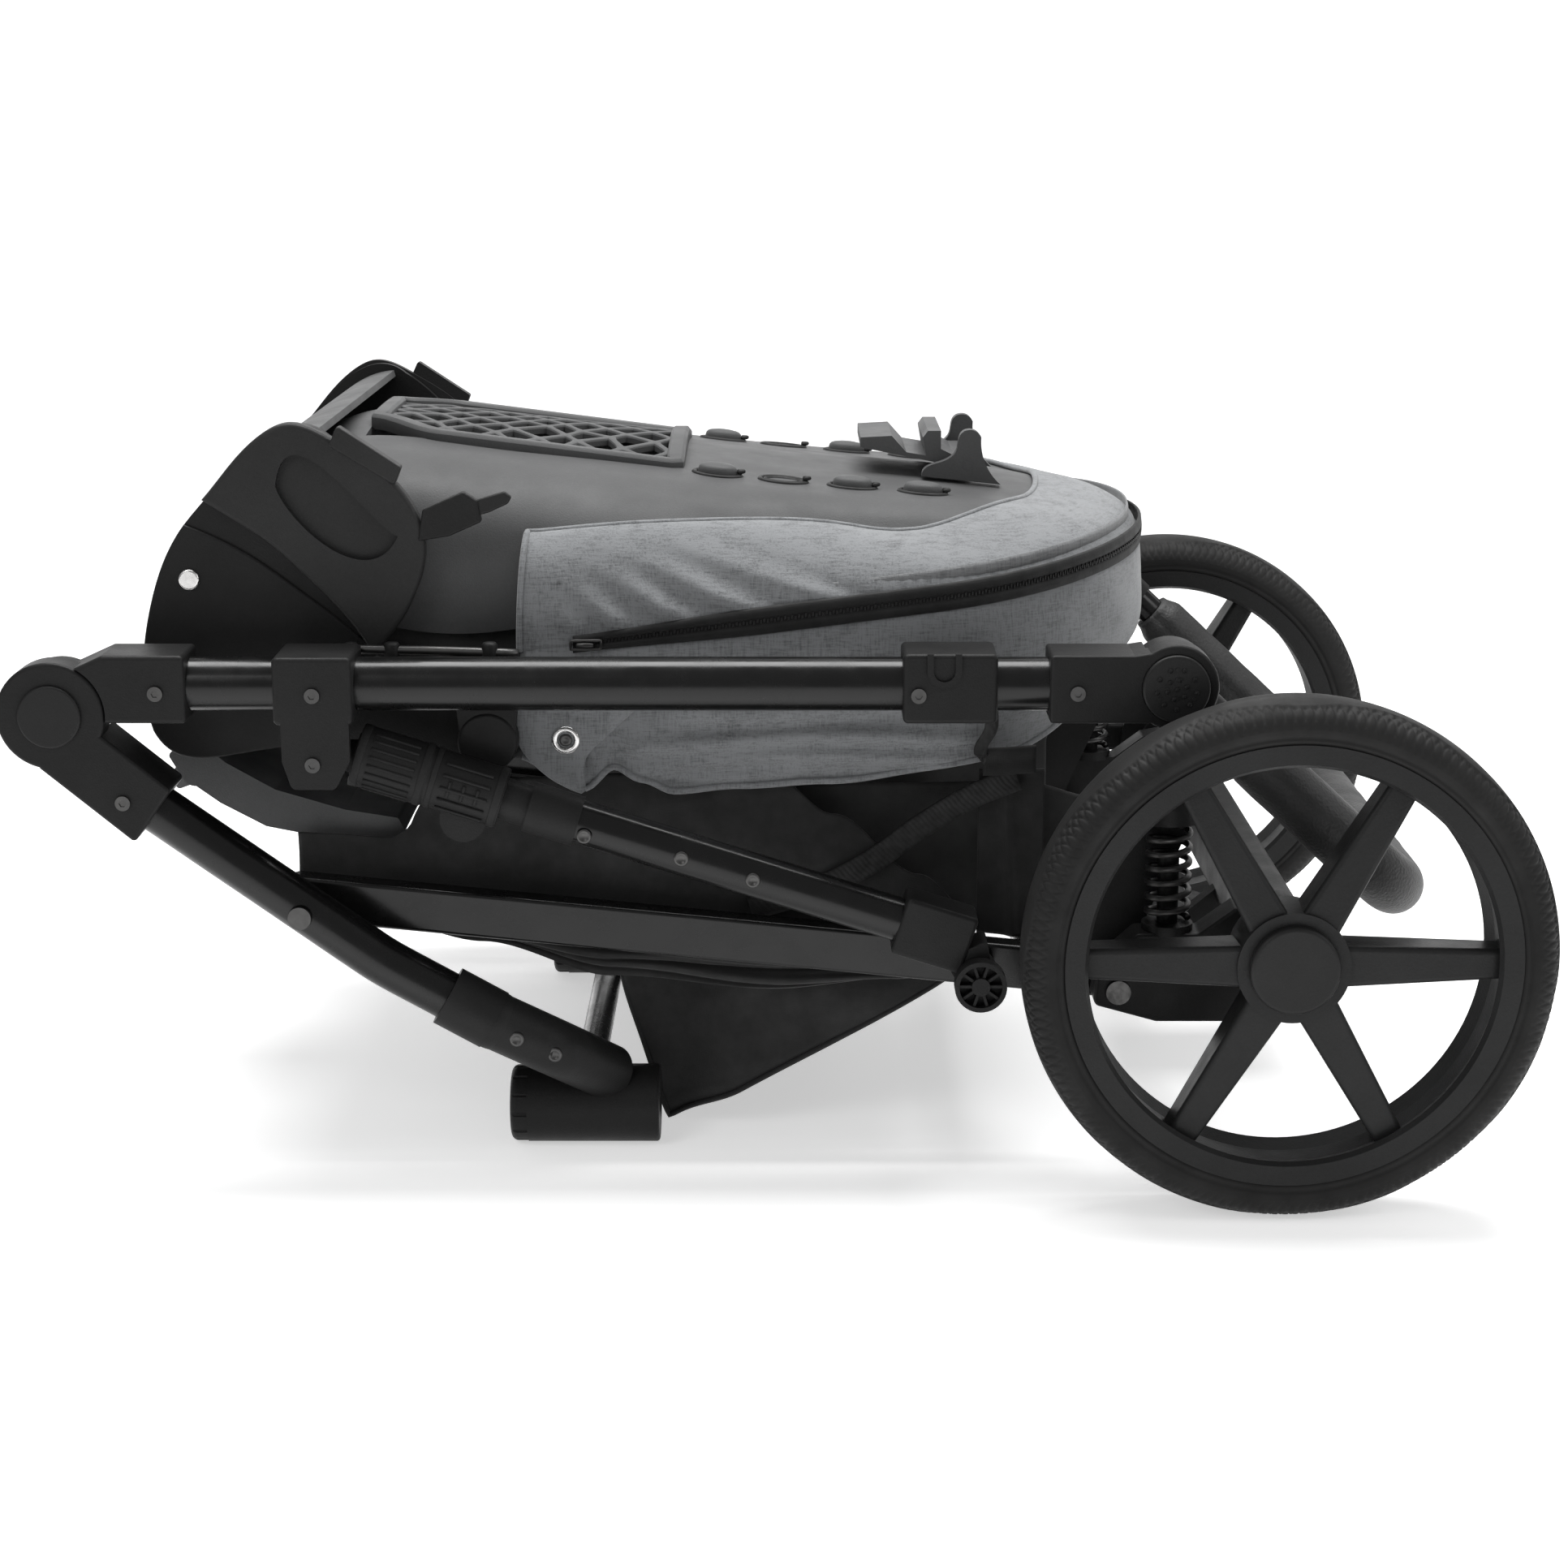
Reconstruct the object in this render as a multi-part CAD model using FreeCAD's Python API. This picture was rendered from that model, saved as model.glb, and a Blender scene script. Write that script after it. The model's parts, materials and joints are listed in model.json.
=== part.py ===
"""Folded pushchair chassis with a bucket seat unit, its front wheels taken off.

Millimetres, +Z up, +X towards the rear wheels, Y across the object.  The origin is
on the floor, in the middle of the object's box.  The object is symmetric about the
XZ plane, so a side part is drawn once, on the near side (negative Y), and mirrored.
A side part's place across the object is its distance from the XZ plane, called its
reach: inner and outer reach are the two faces of a plate.

The frame is a four-bar fold.  The lower frame carries the front frame on the leg
pivot and the rear struts on the strut pivot, and the push frame turns on the fold
hinge at the top of the front frame.  The struts' upper pivot on the push frame is
left open, with clearance.
"""
import FreeCAD, Part

import math
import os

# ---- driving dimensions -------------------------------------------------------
WHEEL_RADIUS = 147.0
TRACK = 560.0
AXLE = (282.0, WHEEL_RADIUS)

FOLD_HINGE = (-399.0, 274.0)
LEG_PIVOT = (-266.0, 158.0)
STRUT_PIVOT = (116.0, 120.0)
STRUT_TOP = (-254.0, 248.0)
HANDLE_PIVOT = (221.0, 290.0)
SUSPENSION_PIVOT = (195.0, 112.0)
SEAT_HUB = (-162.0, 251.0)
RECLINE_PIVOT = (-240.0, 345.0)
CANOPY_PIVOT = (-115.0, 303.0)
LEGREST_PIVOT = (-336.0, 224.0)
BRAKE_PIVOT = (236.0, 92.0)
LEVER_PIVOT = (117.0, 387.0)

SIDE_REACH = 225.0
PUSH_TUBE_RADIUS = 15.0
PUSH_TUBE_Z = 289.0
LEG_RADIUS = 13.8
STRUT_RADIUS = 12.5
TUBE_WALL = 1.8
RAIL_REACH = (190.0, 204.0)
RAIL_HEIGHT = 26.0

HINGE_DISC_RADIUS = 30.0
HINGE_SPLIT_REACH = 224.6
HANDLE_DISC_RADIUS = 24.0
HANDLE_ANGLE = 43.0
HANDLE_LENGTH = 190.0
HANDLE_REACH = 212.0
HANDLE_TUBE_RADIUS = 10.0
HANDLE_CORNER = 42.0
GRIP_RADIUS = 17.5

HOUSING_REACH = 168.0
HOUSING_RADIUS = 23.0
STEM_BORE_RADIUS = 6.1
STEM_BORE_DEPTH = 55.0

AXLE_SHAFT_RADIUS = 6.0
RUNNING_GAP = 0.05
PIVOT_PIN_RADIUS = 4.0

SHELL_THICKNESS = 5.0
CANOPY_THICKNESS = 5.0
SEAT_PLATE_REACH = (172.5, 178.0)

OUT = "parts"


# ---- helpers ------------------------------------------------------------------
def point(x, y, z):
    return FreeCAD.Vector(x, y, z)


def mirrored(shape):
    """The far-side copy of a near-side shape."""
    return shape.mirror(point(0, 0, 0), point(0, 1, 0))


def pair(shape):
    """A near-side shape and its far-side copy."""
    return [shape, mirrored(shape)]


def save(node, shapes):
    """Write one node, as a solid or as a group of solids."""
    solids = []
    for shape in shapes:
        solids.extend(shape.Solids)
    for solid in solids:
        if not solid.isValid() or solid.Volume <= 0:
            raise RuntimeError("bad solid in " + node)
    whole = solids[0] if len(solids) == 1 else Part.makeCompound(solids)
    whole.exportStep(os.path.join(OUT, node + ".step"))


def disc(centre, radius, inner, outer):
    """A near-side cylinder along Y between two reaches."""
    x, z = centre
    return Part.makeCylinder(radius, outer - inner, point(x, -outer, z), point(0, 1, 0))


def along_y(shape):
    """The edges of a shape that run along Y."""
    edges = []
    for edge in shape.Edges:
        if len(edge.Vertexes) == 2 and isinstance(edge.Curve, Part.Line):
            start, end = (vertex.Point for vertex in edge.Vertexes)
            if abs(start.x - end.x) + abs(start.z - end.z) < 1e-6:
                edges.append(edge)
    return edges


def on_face(shape, reach):
    """The edges of a near-side shape that lie in the plane at one reach."""
    box_tolerance = 1e-5
    edges = []
    for edge in shape.Edges:
        low, high = edge.BoundBox.YMin, edge.BoundBox.YMax
        if abs(low + reach) < box_tolerance and abs(high + reach) < box_tolerance:
            edges.append(edge)
    return edges


def plate(outline, inner, outer, corner=0.0, soft=0.0):
    """A near-side plate with an XZ outline, rounded corners and a soft outer rim."""
    corners = [point(x, -outer, z) for x, z in outline]
    face = Part.Face(Part.makePolygon(corners + corners[:1]))
    solid = face.extrude(point(0, outer - inner, 0))
    if corner:
        solid = solid.makeFillet(corner, along_y(solid))
    if soft:
        solid = solid.makeFillet(soft, on_face(solid, outer))
    return solid


def smooth_edges(curves):
    """Edges through chains of XZ points, each chain one smooth curve."""
    edges = []
    for chain in curves:
        curve = Part.BSplineCurve()
        curve.interpolate([point(x, 0, z) for x, z in chain])
        edges.append(curve.toShape())
    return edges


def curved_plate(curves, inner, outer, soft=0.0):
    """A near-side plate whose outline is a ring of smooth curves, with a soft outer rim."""
    face = Part.Face(Part.Wire(smooth_edges(curves)))
    face.translate(point(0, -inner, 0))
    solid = face.extrude(point(0, inner - outer, 0))
    if soft:
        solid = solid.makeFillet(soft, on_face(solid, outer))
    return solid


def on_line(start, end, distance, offset=0.0):
    """The point a distance along a line in XZ, moved sideways by an offset."""
    length = math.dist(start, end)
    ux = (end[0] - start[0]) / length
    uz = (end[1] - start[1]) / length
    return (start[0] + ux * distance - uz * offset, start[1] + uz * distance + ux * offset)


def bar_outline(start, end, half_width):
    """The four corners of a straight bar between two XZ points."""
    length = math.dist(start, end)
    return [
        on_line(start, end, 0, half_width),
        on_line(start, end, length, half_width),
        on_line(start, end, length, -half_width),
        on_line(start, end, 0, -half_width),
    ]


def route(points, bend):
    """A wire through points, its corners rounded to one bend radius."""
    vectors = [point(*p) for p in points]
    edges = []
    last = vectors[0]
    for before, corner, after in zip(vectors, vectors[1:], vectors[2:]):
        towards = (before - corner).normalize()
        away = (after - corner).normalize()
        half_turn = (math.pi - towards.getAngle(away)) / 2
        cut_back = bend * math.tan(half_turn)
        enter = corner + towards * cut_back
        leave = corner + away * cut_back
        inward = (towards + away).normalize()
        middle = corner + inward * (bend / math.cos(half_turn) - bend)
        edges.append(Part.LineSegment(last, enter).toShape())
        edges.append(Part.Arc(enter, middle, leave).toShape())
        last = leave
    edges.append(Part.LineSegment(last, vectors[-1]).toShape())
    return Part.Wire(edges)


def rod(points, radius, bend=20.0):
    """A round bar along a route."""
    path = route(points, bend)
    start = point(*points[0])
    direction = point(*points[1]) - start
    ring = Part.Wire(Part.makeCircle(radius, start, direction))
    return path.makePipeShell([ring], True, False)


def tube(points, radius, bend=20.0):
    """A hollow tube along a route."""
    return rod(points, radius, bend).cut(rod(points, radius - TUBE_WALL, bend))


def straight(start, end, radius, reach):
    """A round bar between two XZ points at one reach."""
    axis = point(end[0] - start[0], 0, end[1] - start[1])
    return Part.makeCylinder(radius, axis.Length, point(start[0], -reach, start[1]), axis)


def ring_section(points):
    """A closed solid turned about the Y axis from (radius, y) points."""
    corners = [point(radius, y, 0) for radius, y in points]
    face = Part.Face(Part.makePolygon(corners + corners[:1]))
    return face.revolve(point(0, 0, 0), point(0, 1, 0), 360)


def around(centre, radius, turn):
    """The XZ point at one radius and one angle, in radians, round a centre."""
    return (centre[0] + radius * math.cos(turn), centre[1] + radius * math.sin(turn))


def screw_head(centre, face_reach, radius=4.2, height=1.6):
    """A round screw head with a hexagonal socket, standing on an outer face."""
    head = disc(centre, radius, face_reach, face_reach + height)
    socket_radius = radius * 0.5
    corners = []
    for step in range(6):
        turn = math.radians(60 * step)
        corners.append(around(centre, socket_radius, turn))
    return head.cut(plate(corners, face_reach + height / 2, face_reach + height))


# ---- lower frame --------------------------------------------------------------
def rail_point(x):
    """The height of the lower rail's centre line at one X."""
    slope = (STRUT_PIVOT[1] - LEG_PIVOT[1]) / (STRUT_PIVOT[0] - LEG_PIVOT[0])
    return (x, LEG_PIVOT[1] + slope * (x - LEG_PIVOT[0]))


RAIL_START_X = -282.0
RAIL_END_X = 211.0
REAR_CROSS_X = 152.0
REAR_CROSS_RADIUS = 11.0


def lower_rails():
    start = rail_point(RAIL_START_X)
    end = rail_point(RAIL_END_X)
    inner, outer = RAIL_REACH
    body = plate(bar_outline(start, end, RAIL_HEIGHT / 2), inner, outer, corner=9.0, soft=2.5)
    core_start = rail_point(RAIL_START_X + 40)
    core_end = rail_point(RAIL_END_X - 42)
    core = plate(bar_outline(core_start, core_end, RAIL_HEIGHT / 2 - 3), inner + 2.5, outer - 2.5)
    body = body.cut(core)
    for pivot in (LEG_PIVOT, STRUT_PIVOT, SUSPENSION_PIVOT):
        body = body.cut(disc(pivot, PIVOT_PIN_RADIUS, inner - 1, outer + 1))
    save("lower_rails", pair(body))


def lower_cross_tube():
    x, z = rail_point(REAR_CROSS_X)
    half = RAIL_REACH[0]
    outer = Part.makeCylinder(REAR_CROSS_RADIUS, 2 * half, point(x, -half, z), point(0, 1, 0))
    inner = Part.makeCylinder(REAR_CROSS_RADIUS - TUBE_WALL, 2 * half, point(x, -half, z), point(0, 1, 0))
    save("lower_cross_tube", [outer.cut(inner)])


SPRING_X = 223.0
SPRING_REACH = 219.0
SPRING_BOTTOM = 150.0
SPRING_TOP = 209.0
SPRING_RADIUS = 11.5
SPRING_WIRE = 2.0
SPRING_TURNS = 6.5


def spring_towers():
    """Upright brackets on the rails' rear ends that hold the springs' top cups."""
    foot_left = rail_point(178)
    foot_right = rail_point(203)
    lift = RAIL_HEIGHT / 2 * math.dist(foot_left, foot_right) / (foot_right[0] - foot_left[0])
    outline = [
        (foot_left[0], foot_left[1] + lift),
        (foot_right[0], foot_right[1] + lift),
        (SPRING_X + 14, SPRING_TOP - 8),
        (SPRING_X + 14, SPRING_TOP + 12),
        (SPRING_X - 18, SPRING_TOP + 12),
        (SPRING_X - 22, SPRING_TOP - 12),
    ]
    web = plate(outline, RAIL_REACH[0] + 2, RAIL_REACH[1] - 2, corner=3.0)
    cup = Part.makeCylinder(16.5, 9.0, point(SPRING_X, -SPRING_REACH, SPRING_TOP), point(0, 0, 1))
    cap = Part.makeSphere(16.5, point(SPRING_X, -SPRING_REACH, SPRING_TOP + 9))
    slab = Part.makeBox(60, 60, 7, point(SPRING_X - 30, -SPRING_REACH - 30, SPRING_TOP + 9))
    arm_width = SPRING_REACH - RAIL_REACH[0] - 2
    arm = Part.makeBox(24, arm_width, 9, point(SPRING_X - 12, -SPRING_REACH, SPRING_TOP))
    tower = web.fuse(cup).fuse(cap.common(slab)).fuse(arm).removeSplitter()
    save("spring_towers", pair(tower))


def pivot_pins():
    """Pins of the leg, strut and suspension pivots, held in the rails."""
    leg = disc(LEG_PIVOT, PIVOT_PIN_RADIUS, RAIL_REACH[0], 240.2)
    leg = leg.fuse(disc(LEG_PIVOT, 8.0, RAIL_REACH[1], 210.2))
    leg = leg.fuse(disc(LEG_PIVOT, 6.5, 240.2, 242.4))
    save("leg_pivot_pins", pair(leg.removeSplitter()))
    strut = disc(STRUT_PIVOT, PIVOT_PIN_RADIUS, RAIL_REACH[0], 239.6)
    strut = strut.fuse(disc(STRUT_PIVOT, 9.0, RAIL_REACH[1], 211.2))
    save("strut_pivot_pins", pair(strut.removeSplitter()))
    arm = disc(SUSPENSION_PIVOT, PIVOT_PIN_RADIUS, RAIL_REACH[0], 232.2)
    arm = arm.fuse(disc(SUSPENSION_PIVOT, 7.5, RAIL_REACH[1], 209.2))
    arm = arm.fuse(disc(SUSPENSION_PIVOT, 7.0, 232.2, 234.4))
    save("suspension_pins", pair(arm.removeSplitter()))


ROLLER_RADIUS = 14.7
ROLLER_SPOKES = 10


def pivot_rollers():
    """Small spoked wheels on the outer ends of the strut pivot pins."""
    outer, inner = 249.6, 239.6
    rim = disc(STRUT_PIVOT, ROLLER_RADIUS, inner, outer)
    rim = rim.cut(disc(STRUT_PIVOT, ROLLER_RADIUS - 2.6, inner, outer))
    hub = disc(STRUT_PIVOT, 5.2, inner, outer)
    back = disc(STRUT_PIVOT, ROLLER_RADIUS - 1, inner, inner + 3)
    roller = rim.fuse(hub).fuse(back)
    for index in range(ROLLER_SPOKES):
        turn = math.radians(index * 360 / ROLLER_SPOKES)
        tip = around(STRUT_PIVOT, ROLLER_RADIUS - 1.5, turn)
        roller = roller.fuse(plate(bar_outline(STRUT_PIVOT, tip, 0.8), inner, outer - 1.5))
    save("pivot_rollers", pair(roller.removeSplitter()))


BASKET_REACH = 158.0
BASKET_WALL = 3.0


def basket_outline(inset):
    """The folded basket's side outline, open along its top."""
    top = 128.0
    return [
        (-74 + inset, top),
        (-74 + inset, 90 + inset / 2),
        (-62 + inset, 50),
        (-61 + inset, 4 + 2 * inset),
        (106 - 2 * inset, 96 + inset / 2),
        (106 - 2 * inset, top),
    ]


def basket():
    """A fabric bag between the rails, collapsed to a wedge, with its mouth on top."""
    skin = plate(basket_outline(0), -BASKET_REACH, BASKET_REACH)
    hollow = plate(basket_outline(BASKET_WALL), -BASKET_REACH + BASKET_WALL, BASKET_REACH - BASKET_WALL)
    bag = skin.cut(hollow)
    save("basket", [bag])


# ---- rear carriage ------------------------------------------------------------
ARM_REACH = (209.5, 232.0)


def suspension_arms():
    inner, outer = ARM_REACH
    outline = [
        (SUSPENSION_PIVOT[0] - 14, SUSPENSION_PIVOT[1] - 8),
        (SUSPENSION_PIVOT[0] + 22, 94),
        (262, 94),
        (AXLE[0] + 15, AXLE[1] - 24),
        (AXLE[0] + 19, AXLE[1] + 8),
        (AXLE[0] + 6, AXLE[1] + 19),
        (AXLE[0] - 22, AXLE[1] + 14),
        (SPRING_X + 17, SPRING_BOTTOM - 4),
        (SPRING_X - 18, SPRING_BOTTOM - 4),
        (SUSPENSION_PIVOT[0] - 12, SUSPENSION_PIVOT[1] + 14),
    ]
    arm = plate(outline, inner, outer, corner=4.5, soft=2.0)
    seat_cup = Part.makeCylinder(14.5, 6.0, point(SPRING_X, -SPRING_REACH, SPRING_BOTTOM - 6), point(0, 0, 1))
    guide = Part.makeCylinder(6.0, 46.0, point(SPRING_X, -SPRING_REACH, SPRING_BOTTOM - 6), point(0, 0, 1))
    sleeve = disc(AXLE, 13.0, ARM_REACH[1], 250.0)
    arm = arm.fuse(seat_cup).fuse(guide).fuse(sleeve)
    arm = arm.cut(disc(AXLE, AXLE_SHAFT_RADIUS, inner - 1, 251))
    arm = arm.cut(disc(SUSPENSION_PIVOT, PIVOT_PIN_RADIUS + RUNNING_GAP, inner - 1, outer + 1))
    save("suspension_arms", pair(arm.removeSplitter()))


def shock_springs():
    height = SPRING_TOP - SPRING_BOTTOM - 2 * SPRING_WIRE - 0.6
    helix = Part.makeHelix(height / SPRING_TURNS, height, SPRING_RADIUS)
    ring = Part.Wire(Part.makeCircle(SPRING_WIRE, point(SPRING_RADIUS, 0, 0), point(0, 1, 0)))
    coil = Part.Wire(helix.Edges).makePipeShell([ring], True, True)
    coil.translate(point(SPRING_X, -SPRING_REACH, SPRING_BOTTOM + SPRING_WIRE + 0.3))
    save("shock_springs", pair(coil))


def axle_beam():
    inner = ARM_REACH[0]
    beam = Part.makeBox(34, 2 * inner, 30, point(AXLE[0] - 17, -inner, AXLE[1] - 15))
    beam = beam.makeFillet(6.0, along_y(beam))
    bore = Part.makeCylinder(AXLE_SHAFT_RADIUS, 2 * inner, point(AXLE[0], -inner, AXLE[1]), point(0, 1, 0))
    x, z = BRAKE_PIVOT
    for inner_ear in (-120, 108):
        ear = plate(
            [(x - 13, z - 11), (x + 13, z - 11), (AXLE[0] + 8, AXLE[1] - 12), (AXLE[0] + 8, AXLE[1] - 4),
             (AXLE[0] - 15, AXLE[1] - 4), (x - 13, z + 14)],
            inner_ear, inner_ear + 12, corner=3.0)
        beam = beam.fuse(ear)
    hole = Part.makeCylinder(7.0 + RUNNING_GAP, 600, point(x, -300, z), point(0, 1, 0))
    beam = beam.cut(hole).cut(bore)
    save("axle_beam", [beam.removeSplitter()])


def axle_shaft():
    half = TRACK / 2 + 24
    shaft = Part.makeCylinder(AXLE_SHAFT_RADIUS, 2 * half, point(AXLE[0], -half, AXLE[1]), point(0, 1, 0))
    save("axle_shaft", [shaft])


def brake_pedal():
    bar = Part.makeCylinder(7.0, 2 * 196, point(BRAKE_PIVOT[0], -196, BRAKE_PIVOT[1]), point(0, 1, 0))
    save("brake_bar", [bar])
    outline = [
        (BRAKE_PIVOT[0] - 11, BRAKE_PIVOT[1] + 11),
        (BRAKE_PIVOT[0] + 12, BRAKE_PIVOT[1] + 11),
        (BRAKE_PIVOT[0] + 82, BRAKE_PIVOT[1] - 12),
        (BRAKE_PIVOT[0] + 84, BRAKE_PIVOT[1] - 22),
        (BRAKE_PIVOT[0] - 11, BRAKE_PIVOT[1] - 12),
    ]
    pad = plate(outline, -45, 45, corner=4.0)
    pad = pad.cut(Part.makeCylinder(7.0, 100, point(BRAKE_PIVOT[0], -50, BRAKE_PIVOT[1]), point(0, 1, 0)))
    save("brake_pedal", [pad])


# ---- wheels -------------------------------------------------------------------
TYRE_SECTION = [
    (121, -16), (125, -21), (131, -23), (138, -22.5), (143.5, -18.5), (146.2, -12),
    (WHEEL_RADIUS, -5), (WHEEL_RADIUS, 5), (146.2, 12), (143.5, 18.5), (138, 22.5),
    (131, 23), (125, 21), (121, 16),
]
RIM_SECTION = [
    (111.5, -19), (113.5, -22), (124.4, -22.6), (124.4, -21.2), (120.6, -16), (120.6, 16),
    (124.4, 21.2), (124.4, 22.6), (113.5, 22), (111.5, 19), (115.0, 8), (115.0, -8),
]
SPOKES = 6
HUB_RADIUS = 31.0
CAP_RADIUS = 24.7


SPOKE_ROOT = ((-19, -12), (12, -10), (12, 10), (-19, 12))
SPOKE_TIP = ((-14, -8.5), (9, -7.5), (9, 7.5), (-14, 8.5))
CAP_FACE_Y = -27.0


def spoke_section(radius, corners):
    """A spoke's closed section at one distance from the axle, from (y, z) corners."""
    points = [point(radius, y, z) for y, z in corners]
    return Part.makePolygon(points + points[:1])


def spoke(turn):
    """One spoke, thick at the hub and set back a little from the rim's face."""
    arm = Part.makeLoft([spoke_section(24, SPOKE_ROOT), spoke_section(116, SPOKE_TIP)], True, True)
    long_edges = [edge for edge in arm.Edges if abs(edge.BoundBox.XMax - edge.BoundBox.XMin) > 50]
    arm = arm.makeFillet(3.0, long_edges)
    arm.rotate(point(0, 0, 0), point(0, 1, 0), turn)
    return arm


def wheel_shapes():
    """The shapes of a near-side wheel, about the origin, by piece name."""
    tyre = ring_section(TYRE_SECTION)
    ring = ring_section(RIM_SECTION).cut(tyre)
    bore = Part.makeCylinder(AXLE_SHAFT_RADIUS + RUNNING_GAP, 80, point(0, -40, 0), point(0, 1, 0))
    hub = Part.makeCylinder(HUB_RADIUS, 36, point(0, -21, 0), point(0, 1, 0))
    spokes = [spoke(index * 360 / SPOKES).cut(ring).cut(hub) for index in range(SPOKES)]
    hub = hub.fuse(Part.makeCylinder(17, 9, point(0, 12, 0), point(0, 1, 0)))
    hub = hub.cut(Part.makeCylinder(CAP_RADIUS, 8, point(0, -22, 0), point(0, 1, 0)))
    hub = hub.cut(bore)
    cap = Part.makeCylinder(CAP_RADIUS, 13, point(0, CAP_FACE_Y, 0), point(0, 1, 0))
    cap = cap.makeFillet(2.5, [edge for edge in cap.Edges if edge.BoundBox.YMax < CAP_FACE_Y + 0.1])
    cap = cap.cut(Part.makeCylinder(AXLE_SHAFT_RADIUS + 3, 12, point(0, CAP_FACE_Y + 2.5, 0), point(0, 1, 0)))
    return {"tyre": [tyre], "rim": [ring], "spider": [hub] + spokes, "cap": [cap]}


def wheels():
    for name, shapes in wheel_shapes().items():
        for shape in shapes:
            shape.translate(point(AXLE[0], -TRACK / 2, AXLE[1]))
        save("wheel_" + name + "_near", shapes)
        save("wheel_" + name + "_far", [mirrored(shape) for shape in shapes])


# ---- front frame --------------------------------------------------------------
LEG_START = (-345.0, 217.0)
LEG_BEND = (-222.0, 128.0)
LEG_END = (-160.0, 93.0)


def front_legs():
    points = [(x, -SIDE_REACH, z) for x, z in (LEG_START, LEG_BEND, LEG_END)]
    leg = tube(points, LEG_RADIUS, bend=180.0)
    bore = disc(LEG_PIVOT, PIVOT_PIN_RADIUS + RUNNING_GAP, 205, 245)
    bush = disc(LEG_PIVOT, 7.0, 212.0, 238.0).cut(bore)
    leg = leg.cut(disc(LEG_PIVOT, 7.0, 205, 245)).fuse(bush)
    save("front_legs", pair(leg.removeSplitter()))


def lower_knuckles():
    """The front frame's hinge discs, outside, with the sockets of the front legs."""
    x, z = FOLD_HINGE
    outline = [
        (x + 24, z - 8),
        on_line(LEG_START, LEG_BEND, 0, 18.5),
        on_line(LEG_START, LEG_BEND, 0, -18.5),
        (x - 8, z - 29),
        (x - 2, z - 4),
    ]
    socket = plate(outline, 207, 243, corner=2.5, soft=2.0)
    socket = socket.cut(disc(FOLD_HINGE, HINGE_DISC_RADIUS - 1.5, 200, HINGE_SPLIT_REACH + 0.2))
    knuckle = disc(FOLD_HINGE, HINGE_DISC_RADIUS, HINGE_SPLIT_REACH + 0.2, 243)
    knuckle = knuckle.makeFillet(2.0, on_face(knuckle, 243.0))
    body = socket.fuse(knuckle)
    body = body.cut(disc(FOLD_HINGE, PIVOT_PIN_RADIUS + RUNNING_GAP, 205, 240))
    save("lower_knuckles", pair(body.removeSplitter()))


def hinge_caps():
    cap = disc(FOLD_HINGE, 17.5, 243, 245.5)
    cap = cap.makeFillet(1.2, on_face(cap, 245.5))
    save("hinge_caps", pair(cap))


def leg_feet():
    """End connectors of the front legs, stepping in to the stem housings."""
    z = HOUSING_RADIUS
    joint = rod([(-160, -SIDE_REACH, 93), (-128, -218, 75), (-98, -HOUSING_REACH - 6, 44)], 16.5, bend=24.0)
    collar_points = [(LEG_END[0] - 26, LEG_END[1] + 14.7), LEG_END]
    collar = straight(collar_points[0], collar_points[1], 17.5, SIDE_REACH)
    ball = Part.makeSphere(17.0, point(LEG_END[0], -SIDE_REACH, LEG_END[1]))
    shell = Part.makeCylinder(HOUSING_RADIUS, 78, point(-146, -HOUSING_REACH, z), point(1, 0, 0))
    shell = shell.makeFillet(2.0, [edge for edge in shell.Edges if edge.BoundBox.XMin > -70])
    body = shell.fuse(joint).fuse(collar).fuse(ball)
    leg_points = [(x, -SIDE_REACH, z_leg) for x, z_leg in (LEG_START, LEG_BEND, LEG_END)]
    body = body.cut(rod(leg_points, LEG_RADIUS, bend=180.0))
    bore_end = point(-146 + 78 - STEM_BORE_DEPTH, -HOUSING_REACH, z)
    bore = Part.makeCylinder(STEM_BORE_RADIUS, STEM_BORE_DEPTH, bore_end, point(1, 0, 0))
    body = body.cut(bore)
    save("leg_feet", pair(body.removeSplitter()))


def stem_caps():
    """Ribbed round caps that close the upper ends of the stem housings."""
    centre = point(-156, -HOUSING_REACH, HOUSING_RADIUS)
    cap = Part.makeCylinder(HOUSING_RADIUS - 0.5, 10, centre, point(1, 0, 0))
    cap = cap.makeFillet(4.0, [edge for edge in cap.Edges if edge.BoundBox.XMax < -155.9])
    for index in range(12):
        turn = math.radians(30 * index)
        y = -HOUSING_REACH + (HOUSING_RADIUS - 0.2) * math.cos(turn)
        z = HOUSING_RADIUS + (HOUSING_RADIUS - 0.2) * math.sin(turn)
        cap = cap.cut(Part.makeCylinder(1.3, 12, point(-157, y, z), point(1, 0, 0)))
    save("stem_caps", pair(cap))


def front_cross_bar():
    half = HOUSING_REACH - HOUSING_RADIUS + 2
    bar = Part.makeCylinder(9.0, 2 * half, point(-112, -half, 31), point(0, 1, 0))
    core = Part.makeCylinder(9.0 - TUBE_WALL, 2 * half, point(-112, -half, 31), point(0, 1, 0))
    bar = bar.cut(core)
    for y in (-HOUSING_REACH, HOUSING_REACH):
        bar = bar.cut(Part.makeCylinder(HOUSING_RADIUS, 120, point(-160, y, HOUSING_RADIUS), point(1, 0, 0)))
    save("front_cross_bar", [bar])


# ---- push frame ---------------------------------------------------------------
UPPER_SOCKET_END = -324.0
HANDLE_SOCKET_START = 152.0
TUBE_LOW = PUSH_TUBE_Z - 19.0
TUBE_HIGH = PUSH_TUBE_Z + 19.0


def push_tubes():
    start = (UPPER_SOCKET_END - 20, PUSH_TUBE_Z)
    end = (HANDLE_SOCKET_START + 20, PUSH_TUBE_Z)
    body = straight(start, end, PUSH_TUBE_RADIUS, SIDE_REACH)
    body = body.cut(straight(start, end, PUSH_TUBE_RADIUS - TUBE_WALL, SIDE_REACH))
    save("push_tubes", pair(body))


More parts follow.
